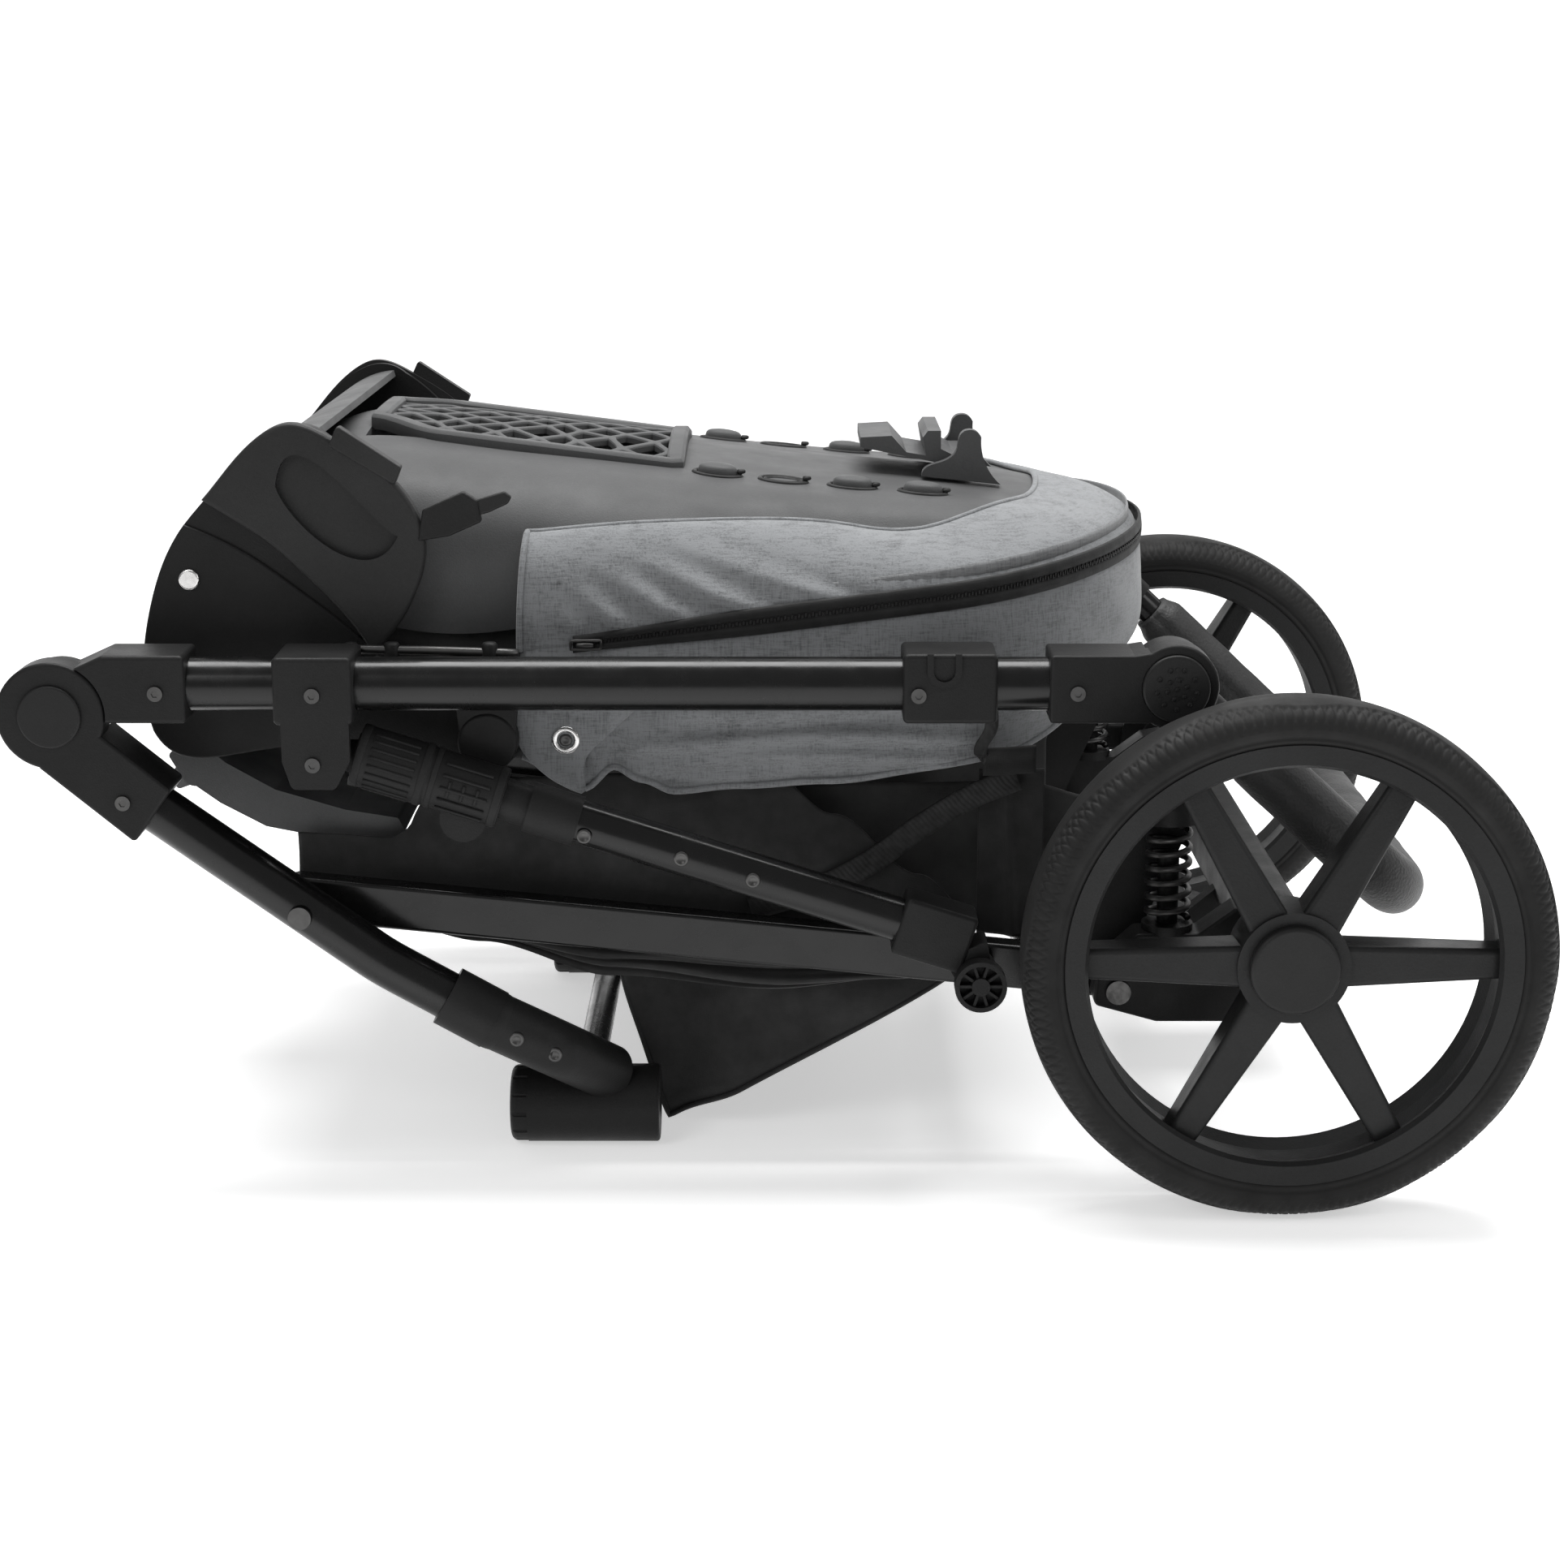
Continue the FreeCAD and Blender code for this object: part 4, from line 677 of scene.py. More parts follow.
def hood_top_edge(count):
    """The upper edge of the hood's fabric, lying on the back shell."""
    side = []
    for index in range(25):
        x = mix(CANOPY_LEFT, 44.0, index / 24)
        side.append(Vector((x, -mix(163.5, 139.0, ease(index / 24)), 0)))
    for index in range(1, 41):
        turn = math.pi / 2 * index / 40
        side.append(Vector((44 + 117 * math.sin(turn) ** 0.85, -139 * math.cos(turn) ** 0.9, 0)))
    line = side + [Vector((p.x, -p.y, 0)) for p in reversed(side[:-1])]
    line = even(line, count)
    for spot in line:
        ground = surface_z("back_shell", min(spot.x, SHELL_RIGHT - 5), spot.y * 0.985)
        spot.z = (ground if ground else 352.0) + 1.8
    return line


HOOD_COLUMNS = 300
UPPER_ROWS = 46
LOWER_ROWS = 56


def fan_folds(x, z, side):
    """Gathers that fan out from the zip's left end, seen on the hood's sides."""
    depth = 0.0
    for start, lean, length, height in (
        (-128, 0.10, 62, 3.4), (-106, 0.42, 70, 4.8), (-76, 0.75, 92, 5.6), (-38, 1.05, 96, 4.8),
        (4, 1.35, 100, 3.4), (56, 1.7, 90, 2.2),
    ):
        above = z - zip_z(x)
        ridge = start + side * 3.0 - above * lean * 1.35
        reach = ease(1 - above / length) if above < length else 0.0
        width = 7.5 + above * 0.16
        offset = (x - ridge) / width
        depth += height * reach * (math.exp(-offset ** 2) - 0.75 * math.exp(-(offset - 1.35) ** 2))
    return depth


def hood_upper():
    """The hood's band above the zip, drawn in to the shell's edge."""
    bottom = hood_plan(CANOPY_REACH - 2.0, CANOPY_LEFT - 4, CANOPY_RIGHT, CANOPY_TURN_X, HOOD_COLUMNS)
    top = hood_top_edge(HOOD_COLUMNS)
    points = []
    for low_spot, high_spot in zip(bottom, top):
        start = Vector((low_spot.x, low_spot.y, zip_z(low_spot.x)))
        end = high_spot
        out = Vector((start.x - min(start.x, CANOPY_TURN_X), start.y, 0)).normalized()
        rear = ease((start.x - CANOPY_TURN_X) / (CANOPY_RIGHT - CANOPY_TURN_X))
        rise = end.z - start.z
        first = start + Vector((0, 0, rise * mix(0.55, 0.42, rear))) + out * mix(1.0, 2.0, rear)
        second = end + Vector((out.x, out.y, 0)) * mix(12, 34, rear) + Vector((0, 0, mix(2.0, -3.0, rear)))
        for row in range(UPPER_ROWS):
            t = row / (UPPER_ROWS - 1)
            spot = (start * (1 - t) ** 3 + first * 3 * t * (1 - t) ** 2
                    + second * 3 * t ** 2 * (1 - t) + end * t ** 3)
            hold = ease(t / 0.17) * ease((1 - t) / 0.1)
            sides = 1 - ease((spot.x - 120) / 60)
            fold = fan_folds(spot.x, spot.z, 1 if spot.y > 0 else -1) * hold * sides
            soft = noise.noise(Vector((spot.x * 0.018, spot.y * 0.018, spot.z * 0.03 + 4))) * 1.8 * hold
            gather = 0.5 * math.sin(spot.x * 0.85) * bump(t, 0.14, 0.08) * sides
            points.append(spot + out * (fold + soft + gather))
    cloth = piece("hood_upper", "seat_back", points, grid_faces(HOOD_COLUMNS, UPPER_ROWS), GREY_FABRIC)
    thicken(cloth, 2.2, offset=-1.0)
    hem = even([points[i * UPPER_ROWS + UPPER_ROWS - 1] for i in range(HOOD_COLUMNS)], 260)
    swept("hood_upper_hem", "seat_back", hem, circle(1.7, 8), GREY_FABRIC)
    front = [points[j] - Vector((0.5, 0, 0)) for j in range(UPPER_ROWS)]
    swept("hood_front_hem_near", "seat_back", front, circle(1.8, 8), GREY_FABRIC)
    last = (HOOD_COLUMNS - 1) * UPPER_ROWS
    front = [points[last + j] - Vector((0.5, 0, 0)) for j in range(UPPER_ROWS)]
    swept("hood_front_hem_far", "seat_back", front, circle(1.8, 8), GREY_FABRIC)
    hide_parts("canopy_rear")


def hem_z(x):
    """Height of the hood's lower hem along the object."""
    return ramp(x, [(-146, 238), (-128, 232), (-109, 219), (-92, 232), (-76, 224), (-58, 217), (-20, 220),
                    (30, 223), (128, 236), (205, 249), (236, 268)])


def drape_folds(x, z):
    """Long soft folds that run along the hood's lower band and meet at its left end."""
    depth = 0.0
    for left_z, right_z, height, width, start, stop in (
        (246, 252, 4.4, 5.0, -96, 150), (234, 242, 5.2, 6.5, -84, 190), (262, 276, 3.0, 6.0, -70, 120),
        (226, 234, 3.4, 3.6, -60, 60),
    ):
        line = mix(left_z, right_z, (x + 90) / 260) + 2.5 * math.sin(x * 0.03 + left_z)
        hold = ease((x - start) / 30) * ease((stop - x) / 60)
        offset = (z - line) / width
        depth += height * hold * (math.exp(-offset ** 2) - 0.7 * math.exp(-(offset + 1.5) ** 2))
    for start, lean, height in ((-128, 0.35, 2.0), (-108, -0.2, 2.8), (-90, -0.55, 2.4)):
        ridge = start + (262 - z) * lean * -1
        depth += height * bump(x, ridge, 4.5) * ease((275 - z) / 20) * ease((z - 222) / 12)
    return depth


def hood_lower():
    """The hood's band below the zip, hanging in folds to its hem."""
    top = hood_plan(CANOPY_REACH - 2.0, CANOPY_LEFT - 4, CANOPY_RIGHT + 2, CANOPY_TURN_X, HOOD_COLUMNS)
    points = []
    for spot_low in top:
        out = Vector((spot_low.x - min(spot_low.x, CANOPY_TURN_X), spot_low.y, 0)).normalized()
        rear = ease((spot_low.x - CANOPY_TURN_X) / (CANOPY_RIGHT - CANOPY_TURN_X))
        above = zip_z(spot_low.x)
        below = hem_z(spot_low.x)
        for row in range(LOWER_ROWS):
            t = row / (LOWER_ROWS - 1)
            z = mix(above, below, t)
            belly = math.sin(math.pi * min(t * 1.15, 1.0)) * mix(2.5, 3.0, rear)
            tuck = -mix(3.0, 26.0, rear) * ease((t - 0.55) / 0.45) ** 1.4
            fold = drape_folds(spot_low.x, z) * ease(t / 0.12) * (1 - rear)
            soft = noise.noise(Vector((spot_low.x * 0.02, spot_low.y * 0.02, z * 0.03))) * 1.6 * ease(t / 0.1)
            points.append(Vector((spot_low.x, spot_low.y, z)) + out * (belly + tuck + fold + soft))
    cloth = piece("hood_lower", "hood", points, grid_faces(HOOD_COLUMNS, LOWER_ROWS), GREY_FABRIC)
    thicken(cloth, 2.0, offset=1.0)
    hem = even([points[i * LOWER_ROWS + LOWER_ROWS - 1] for i in range(HOOD_COLUMNS)], 280)
    swept("hood_lower_hem", "hood", hem, circle(2.0, 8), GREY_FABRIC)
    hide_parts("canopy_front")


def hood_zip():
    """The zip round the hood: two tapes, a row of teeth and a slider."""
    plan = hood_plan(CANOPY_REACH - 1.0, CANOPY_LEFT + 26, CANOPY_RIGHT + 1.5, CANOPY_TURN_X, 420)
    line = []
    for index, spot in enumerate(plan):
        share = min(index, 419 - index) / 210
        swell = ease(share / 0.25)
        line.append((Vector((spot.x, spot.y, zip_z(spot.x) + 0.5)), swell))
    points, faces = [], []
    section = [(-8.0, 0.4), (-7.2, 2.0), (-2.2, 2.6), (-1.6, 1.8), (1.6, 1.8), (2.2, 2.6), (7.2, 2.0), (8.0,
                                                            0.4)]
    for here, swell in line:
        out = Vector((here.x - min(here.x, CANOPY_TURN_X), here.y, 0)).normalized()
        for up, proud in section:
            points.append(here + Vector((0, 0, up * mix(0.62, 1.0, swell))) + out * proud)
    tape = piece("zip_tape", "seat_back", points, grid_faces(420, len(section)), ZIP_TAPE)
    thicken(tape, 1.0, offset=-1.0)
    tooth_points, tooth_faces = [], []
    teeth = even([here for here, _ in line[4:-4]], 460)
    for index, here in enumerate(teeth[:-1]):
        out = Vector((here.x - min(here.x, CANOPY_TURN_X), here.y, 0)).normalized()
        ahead = (teeth[index + 1] - here).normalized()
        up = Vector((0, 0, 1))
        shift = 0.35 if index % 2 else -0.35
        start = len(tooth_points)
        for a, b, c in ((-0.55, -1.2, 1.6), (0.55, -1.2, 1.6), (0.55, 1.2, 1.6), (-0.55, 1.2, 1.6),
                        (-0.4, -1.0, 2.7), (0.4, -1.0, 2.7), (0.4, 1.0, 2.7), (-0.4, 1.0, 2.7)):
            tooth_points.append(here + ahead * a + up * (b + shift) + out * c)
        for face in ((0, 3, 2, 1), (4, 5, 6, 7), (0, 1, 5, 4), (1, 2, 6, 5), (2, 3, 7, 6), (3, 0, 4, 7)):
            tooth_faces.append(tuple(start + k for k in face))
    piece("zip_teeth", "seat_back", tooth_points, tooth_faces, SATIN_BLACK, smooth=False)
    for side, sign in SIDES.items():
        x = CANOPY_LEFT + 33
        here = Vector((x, sign * (CANOPY_REACH + 1.5), zip_z(x)))
        route = [here + Vector((dx, sign * dy, dz)) for dx, dy, dz in
                 ((-8, 1.5, -2.5), (-8, 1.5, 2.5), (9, 1.5, 2.6), (9, 1.5, -2.4))]
        pull = swept("zip_pull_" + side, "seat_back", even(route, 24, closed=True), circle(0.9, 8), STEEL,
                     closed=True)
        slider = swept("zip_slider_" + side, "seat_back",
                       [here + Vector((d, 0, 0)) for d in (-5, -4.4, 0, 4.4, 5)],
                       circle(3.4, 14, 0.62), STEEL,
                       scale=lambda t: 0.72 + 0.28 * math.sin(math.pi * t))
        joined("zip_slider_" + side, [slider, pull])


def hood_gusset():
    """The folded extension panel behind the zip."""
    plan = hood_plan(CANOPY_REACH - 7.5, CANOPY_LEFT + 30, CANOPY_RIGHT - 6, CANOPY_TURN_X, 180)
    rows = 17
    points = []
    for spot in plan:
        out = Vector((spot.x - min(spot.x, CANOPY_TURN_X), spot.y, 0)).normalized()
        for row in range(rows):
            t = row / (rows - 1)
            pleat = 0.8 * math.sin(t * math.pi * 4)
            points.append(Vector((spot.x, spot.y, zip_z(spot.x) + mix(16, -16, t))) + out * pleat)
    cloth = piece("hood_gusset", "seat_back", points, grid_faces(180, rows), DEEP_FABRIC)
    cloth.parent = None
    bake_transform(cloth)
    thicken(cloth, 1.0)


# ---- oval plugs, buckle and small plastic trim --------------------------------
def oval(name, body, centre, normal, along, profile, squash, material, count=44):
    """A dome or ring on a surface from (radius, height) points, squashed across one way."""
    normal = Vector(normal).normalized()
    along = (Vector(along) - normal * Vector(along).dot(normal)).normalized()
    other = normal.cross(along)
    points = []
    for i in range(count):
        turn = 2 * math.pi * i / count
        out = along * math.cos(turn) + other * math.sin(turn) * squash
        points += [Vector(centre) + out * r + normal * h for r, h in profile]
    return piece(name, body, points, grid_faces(count, len(profile), around=True), material)


PLUG_COLLAR = [(15.6, -3.0), (15.4, 0.3), (14.8, 1.2), (13.8, 1.5), (12.9, 1.1), (12.5, 0.2), (12.2, -1.0)]
PLUG_CAP = [(11.8, -1.5), (11.7, 2.4), (11.2, 4.2), (10.0, 5.4), (8.0, 6.1), (4.0, 6.7), (0.05, 6.9)]
PLUG_PLACES = (-34.0, 5.0, 46.0, 88.0)
PLUG_OPEN = [(11.6, 1.0), (10.8, 1.4), (9.6, 0.2), (8.0, -1.2), (0.05, -1.6)]


def plugs():
    """Two rows of oval plugs in the back shell, the second of each row with its cap open."""
    for side, sign in SIDES.items():
        for index, x in enumerate(PLUG_PLACES):
            y = sign * 84.0
            z = surface_z("back_shell", x, y)
            slope_x = (surface_z("back_shell", x + 8, y) - surface_z("back_shell", x - 8, y)) / 16
            slope_y = (surface_z("back_shell", x, y + 6) - surface_z("back_shell", x, y - 6)) / 12
            normal = Vector((-slope_x, -slope_y, 1))
            name = "plug_%s_%d" % (side, index + 1)
            collar = oval(name + "_collar", "seat_back", (x, y, z), normal, (1, 0, 0), PLUG_COLLAR, 0.72,
                          LOOP_PLASTIC)
            profile = PLUG_CAP if index != 1 else PLUG_OPEN
            cap_material = SHELL_PLASTIC if index != 1 else BLACK_PLASTIC
            oval(name + "_cap", "seat_back", (x, y, z), normal, (1, 0, 0), profile, 0.72,
                 cap_material)
            clip = swept(name + "_clip", "seat_back",
                         [Vector((x + 12.5, y - 3, z + 1.2)), Vector((x + 15.5, y, z + 1.4)),
                          Vector((x + 12.5, y + 3, z + 1.2))],
                         circle(1.3, 8), LOOP_PLASTIC)
            joined(name + "_collar", [collar, clip])


def block(name, body, outline, inner, outer, sign, material, soft=1.2):
    """A block with an XZ outline between two reaches, its edges rounded."""
    points = [Vector((x, sign * inner, z)) for x, z in outline] + [Vector((x, sign * outer, z)) for x,
                                                            z in outline]
    count = len(outline)
    faces = [tuple(range(count)), tuple(range(2 * count - 1, count - 1, -1))]
    for i in range(count):
        k = (i + 1) % count
        faces.append((k, i, i + count, k + count))
    thing = piece(name, body, points, faces, material, smooth=False)
    bevelled(thing, soft, 3)
    return thing


def recline_buckles():
    """A belt buckle that sticks out of each recline cover."""
    for side, sign in SIDES.items():
        body = block("buckle_body_" + side, "seat_base",
                     [(-200, 363), (-197, 381), (-174, 391), (-166, 386), (-164, 374), (-182, 366)],
                     183.2, 190.0, sign, BLACK_PLASTIC)
        tongue = block("buckle_tongue_" + side, "seat_base",
                       [(-168, 377), (-168, 386), (-151, 391), (-147, 388), (-149, 384), (-160, 379)],
                       184.0, 188.5, sign, SATIN_BLACK, soft=0.9)
        joined("buckle_" + side, [body, tongue])


def adapter_bars():
    """A thin release bar above each push tube, with two knobs."""
    for side, sign in SIDES.items():
        line = [Vector((-238, sign * 200, 303.5)), Vector((-190, sign * 200, 302.5)), Vector((-144,
                                                            sign * 200, 301))]
        parts = [swept("release_bar_" + side, "push_frame", even(line, 12), circle(2.8, 10), STEEL)]
        for x, radius in ((-215, 4.5), (-160, 4.5), (-238, 4.0)):
            parts.append(oval("release_knob_%s_%d" % (side, -x), "push_frame", (x, sign * 200, 303), (0, 0,
                                                            1),
                              (1, 0, 0), [(radius, -3), (radius, 3.0), (radius - 1, 4.4), (0.05, 4.8)], 1.0,
                              BLACK_PLASTIC, 20))
        post = [Vector((-162, sign * 200, 292)), Vector((-162, sign * 200, 303))]
        parts.append(swept("release_post_" + side, "push_frame", post, circle(3.2, 10), STEEL))
        joined("release_bar_" + side, parts)


RIVET_PROFILE = [(4.2, -0.6), (4.2, 0.5), (3.6, 0.95), (2.6, 1.0), (2.3, 0.55), (0.05, 0.5)]


def rivets():
    """Dark rivets along the struts and the front legs' lower ends."""
    places = [("rear_struts", -106, 205, 239.3), ("rear_struts", -52, 191.5, 237.3),
              ("rear_struts", -12, 179, 237.3), ("front_frame", -146, 86, None), ("front_frame", -125, 75,
                                                            None)]
    for side, sign in SIDES.items():
        for index, (body, x, z, reach) in enumerate(places):
            if reach is None:
                hit, where, _, _ = frame["nodes"]["leg_feet"].ray_cast(
                    Vector((x * MM, sign * 0.4, z * MM)), Vector((0, -sign, 0)))
                if not hit:
                    continue
                reach = abs(where.y) / MM
            oval("rivet_%s_%d" % (side, index + 1), body, (x, sign * reach, z), (0, sign, 0), (1, 0, 0),
                 RIVET_PROFILE, 1.0, STEEL, 24)


STRUT_START = Vector((-110.0, 0.0, 210.0))
STRUT_AHEAD = (Vector((76.0, 0.0, 151.0)) - STRUT_START).normalized()


def sleeve_trim():
    """Rings, grip ridges and raised bars on the struts' lock sleeves."""
    up = Vector((-STRUT_AHEAD.z, 0, STRUT_AHEAD.x))
    for side, sign in SIDES.items():
        body = "sleeve_" + side
        parts = []
        for distance, radius, width in ((-126.5, 18.0, 2.4), (-90, 18.1, 2.0), (-84, 17.6, 1.6), (-47, 17.5,
                                                            2.2)):
            centre = STRUT_START + STRUT_AHEAD * distance + Vector((0, sign * TUBE_REACH, 0))
            profile = [(radius - 2.5, -width), (radius - 0.2, -width), (radius, -width + 0.6), (radius,
                                                            width - 0.6),
                       (radius - 0.2, width), (radius - 2.5, width)]
            parts.append(oval("ring", body, centre, STRUT_AHEAD, up, profile, 1.0, SOFT_RUBBER,
                              48))
        for first, last, turns in ((-121, -95, range(-64, 65, 16)), (-79, -52, range(-48, 49, 24))):
            for turn in turns:
                angle = math.radians(turn)
                out = Vector((0, sign, 0)) * math.cos(angle) + up * math.sin(angle)
                base = STRUT_START + Vector((0, sign * TUBE_REACH, 0)) + out * 17.4
                line = [base + STRUT_AHEAD * mix(first, last, k / 4) for k in range(5)]
                parts.append(swept("ridge", body, line, circle(1.3, 8, 0.7), SOFT_RUBBER))
        for distance, height in ((-74, 4.6), (-66, 4.6), (-58, 4.6)):
            base = STRUT_START + STRUT_AHEAD * distance + Vector((0, sign * (TUBE_REACH + 17.0), 0))
            line = [base - up * height, base + up * height]
            parts.append(swept("bar", body, even(line, 4), circle(1.0, 8), SOFT_RUBBER))
        joined("sleeve_trim_" + side, parts)


def button_dots():
    """A ring pattern of small studs on the handle's push buttons."""
    for side, sign in SIDES.items():
        node = "handle_button_" + side
        centre = middle(node)
        face = high(node).y if sign > 0 else low(node).y
        parts = []
        for ring, count in ((0.0, 1), (5.5, 6), (11.0, 9)):
            for index in range(count):
                turn = 2 * math.pi * index / count + ring
                spot = (centre.x + ring * math.cos(turn), face, centre.z + ring * math.sin(turn))
                parts.append(oval("stud", "button_" + side, spot, (0, sign, 0), (1, 0, 0),
                                  [(1.3, -0.4), (1.3, 0.3), (0.8, 0.6), (0.03, 0.65)], 1.0, BLACK_PLASTIC,
                                  12))
        joined("button_studs_" + side, parts)


# ---- basket and dark cloth ----------------------------------------------------
def side_cloth(name, body, left, right, top_z, bottom_z, reach, relief, sign, material, columns=150,
               rows=34):
    """Its flat size is worked out from its own mesh, so the area check can't fail for it.
    """
    points = []
    for i in range(columns):
        x = mix(left, right, i / (columns - 1))
        for j in range(rows):
            t = j / (rows - 1)
            z = mix(top_z(x), bottom_z(x), t)
            points.append(Vector((x, sign * (reach(x) + relief(x, z, t)), z)))
    cloth = piece(name, body, points, grid_faces(columns, rows), material)
    thicken(cloth, 1.4, offset=0.0)
    return cloth


def rail_z(x):
    """Height of the lower rail's centre line."""
    return 158.0 - (x + 266.0) * 38.0 / 382.0


def basket_profile():
    """The collapsed basket's front edge, tip and underside, as (x, z) points."""
    ends = [Vector((-84, 0, 131)), Vector((-93, 0, 112)), Vector((-90, 0, 86)), Vector((-79, 0, 50)),
            Vector((-68, 0, 14)), Vector((-64, 0, 3.5))]
    under = [Vector((-64, 0, 3.5)), Vector((-20, 0, 27)), Vector((40, 0, 63)), Vector((107, 0, 104)),
             Vector((112, 0, 126))]
    return even(catmull(ends, 10), 50)[:-1] + even(catmull(under, 12), 90)


def basket_reach(x):
    """Half the basket's width: tucked in between the front legs' feet."""
    return ramp(x, [(-95, 138.0), (-58, 139.0), (-20, 158.0), (60, 168.0), (112, 166.0)])


def basket_bag():
    """The basket as one folded bag: side walls, front edge and underside."""
    profile = basket_profile()
    side_rows, across_rows = 34, 30
    points = []
    for spot in profile:
        reach = basket_reach(spot.x)
        mouth = 131.0 - 0.06 * (spot.x + 84)
        column = []
        for j in range(side_rows):
            t = j / side_rows
            z = mix(mouth, spot.z, t)
            crease = 2.6 * math.sin((spot.x * 0.9 + z * 1.3) * 0.055) * math.sin(math.pi * t)
            crease += 2.2 * bump(z, mix(60, 112, ease((spot.x + 80) / 180)),
                                 9) * math.sin(spot.x * 0.05 + 1.0)
            crease += noise.noise(Vector((spot.x * 0.03, z * 0.03,
                                          7.0))) * 3.2 * math.sin(math.pi * min(t * 1.1, 1))
            column.append((reach - 1.0 + crease * 0.7 - 2.4 * ease((t - 0.93) / 0.07), z))
        near = [Vector((spot.x, -y, z)) for y, z in column]
        across = []
        for j in range(across_rows + 1):
            share = j / across_rows * 2 - 1
            sag = noise.noise(Vector((spot.x * 0.02, share * 2.2,
                                      3.0))) * 2.6 + 1.4 * math.sin(share * 9 + spot.x * 0.03)
            hold = 1 - abs(share) ** 6
            lift = max(spot.z + sag * hold, 2.4)
            across.append(Vector((spot.x, share * (reach - 3.4), lift)))
        far = [Vector((spot.x, y, z)) for y, z in reversed(column)]
        points += near + across + far
    rows = 2 * side_rows + across_rows + 1
    bag = piece("basket_bag", "lower_frame", points, grid_faces(len(profile), rows), BLACK_FABRIC)
    thicken(bag, 1.6, offset=0.0)
    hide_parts("basket")
    for side, sign in SIDES.items():
        seam = [Vector((p.x, sign * (basket_reach(p.x) - 1.2), max(p.z, 3.2))) for p in profile[6:-6]]
        swept("basket_seam_" + side, "lower_frame", seam, circle(1.5, 8), BLACK_FABRIC)


def rim_folds(x, z, t):
    """Long folds of the basket's slack rim below the rail."""
    depth = 0.0
    for share, height, width in ((0.2, 2.2, 0.12), (0.48, 3.0, 0.11), (0.74, 2.4, 0.1)):
        line = share + 0.1 * math.sin(x * 0.012 + share * 9)
        depth += height * (math.exp(-((t - line) / width) ** 2)
                           - 0.8 * math.exp(-((t - line - 0.15) / 0.05) ** 2))
    return depth + noise.noise(Vector((x * 0.02, z * 0.05, 1.0))) * 1.8


def screen_folds(x, z, t):
    """Upright and slanting creases of the slack cloth above the rail."""
    depth = 1.8 * math.sin((x + 0.7 * z) * 0.05) * math.sin(math.pi * t)
    depth += 1.6 * bump(x, -60 + (z - 180) * 0.8, 7) + 1.4 * bump(x, -150 - (z - 180) * 0.5, 9)
    return depth + noise.noise(Vector((x * 0.03, z * 0.03, 5.0))) * 2.4


def dark_cloth():
    """The basket's slack cloth: a rim below each rail, a screen above it and a lighter end panel."""
    for side, sign in SIDES.items():
        side_cloth("basket_rim_" + side, "lower_frame", -236, 116,
                   lambda x: rail_z(x) - 9,
                   lambda x: ramp(x, [(-236, rail_z(-236) - 14), (-170, 126), (-95, 105), (0, 97), (70,
                                                            103), (116, 110)]),
                   lambda x: 178.0, rim_folds, sign, BLACK_FABRIC)
        side_cloth("basket_screen_" + side, "lower_frame", -276, 116,
                   lambda x: ramp(x, [(-276, 191), (-256, 190), (-222, 188), (-213, 193), (-204, 208),
                                      (-180, 216),
                                      (-140, 224), (-90, 226), (0, 224), (34, 202), (84, 166), (116, 142)]),
                   lambda x: rail_z(x) + 4 if x < 100 else rail_z(x) + 8,
                   lambda x: 176.0, screen_folds, sign, BLACK_FABRIC)
        end = side_cloth("basket_end_" + side, "lower_frame", 12, 186,
                   lambda x: ramp(x, [(12, 212), (60, 214), (150, 214), (186, 206)]),
                   lambda x: rail_z(x) + 12,
                   lambda x: 148.0, lambda x, z, t: 2.0 * math.sin(x * 0.06 + z * 0.02) + noise.noise(
                       Vector((x * 0.03, z * 0.03, 9.0))) * 2.0,
                   sign, LINING_FABRIC, columns=90)
        strap = side_cloth("basket_strap_" + side, "lower_frame", 118, 156,
                   lambda x: 228.0, lambda x: rail_z(x) + 10,
                   lambda x: 172.0, lambda x, z,
                   t: 3.0 * math.exp(-((x - 133 - t * 6) / 3.4) ** 2) + 0.6 * math.sin(z * 0.12),
                   sign, BLACK_FABRIC, columns=44, rows=50)
        for cloth in (end, strap):
            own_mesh(cloth)


def seat_shade_skirts():
    """Dark side panels in the lining cloth, hanging below the shell's edges: painted shade that stands for
    the shadow on the shell's sides.
    """
    for side, sign in SIDES.items():
        # painted shade: dark cloth panels where the shell's side falls into shadow
        side_cloth("seat_shade_skirt_" + side, "seat_back", -232, -70,
                   lambda x: 332.0,
                   lambda x: ramp(x, [(-232, 262), (-200, 246), (-140, 242), (-100, 262), (-70, 300)]),
                   lambda x: 159.0, lambda x, z, t: 1.6 * math.sin(x * 0.07 + z * 0.05) * ease(t / 0.3), sign,
                   LINING_FABRIC, columns=80, rows=24)


def hem_webbing():
    """A doubled webbing strap on each side, from the hood's hem down to the lower rail."""
    section = [(-1.2, -7.0), (1.2, -7.0), (1.9, -4.6), (1.0, 0.0), (1.9, 4.6), (1.2, 7.0), (-1.2, 7.0),
               (-1.9, 4.6),
               (-1.0, 0.0), (-1.9, -4.6)]
    for side, sign in SIDES.items():
        spots = [Vector((140, sign * 179.5, 224)), Vector((113, sign * 180.5, 213)), Vector((85, sign * 181,
                                                            196)),
                 Vector((55, sign * 181, 174)), Vector((24, sign * 180, 158)), Vector((-14, sign * 179, 146))]
        strap = swept("hem_webbing_" + side, "lower_frame", even(catmull(spots, 14), 70), section, WEBBING)
        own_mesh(strap)


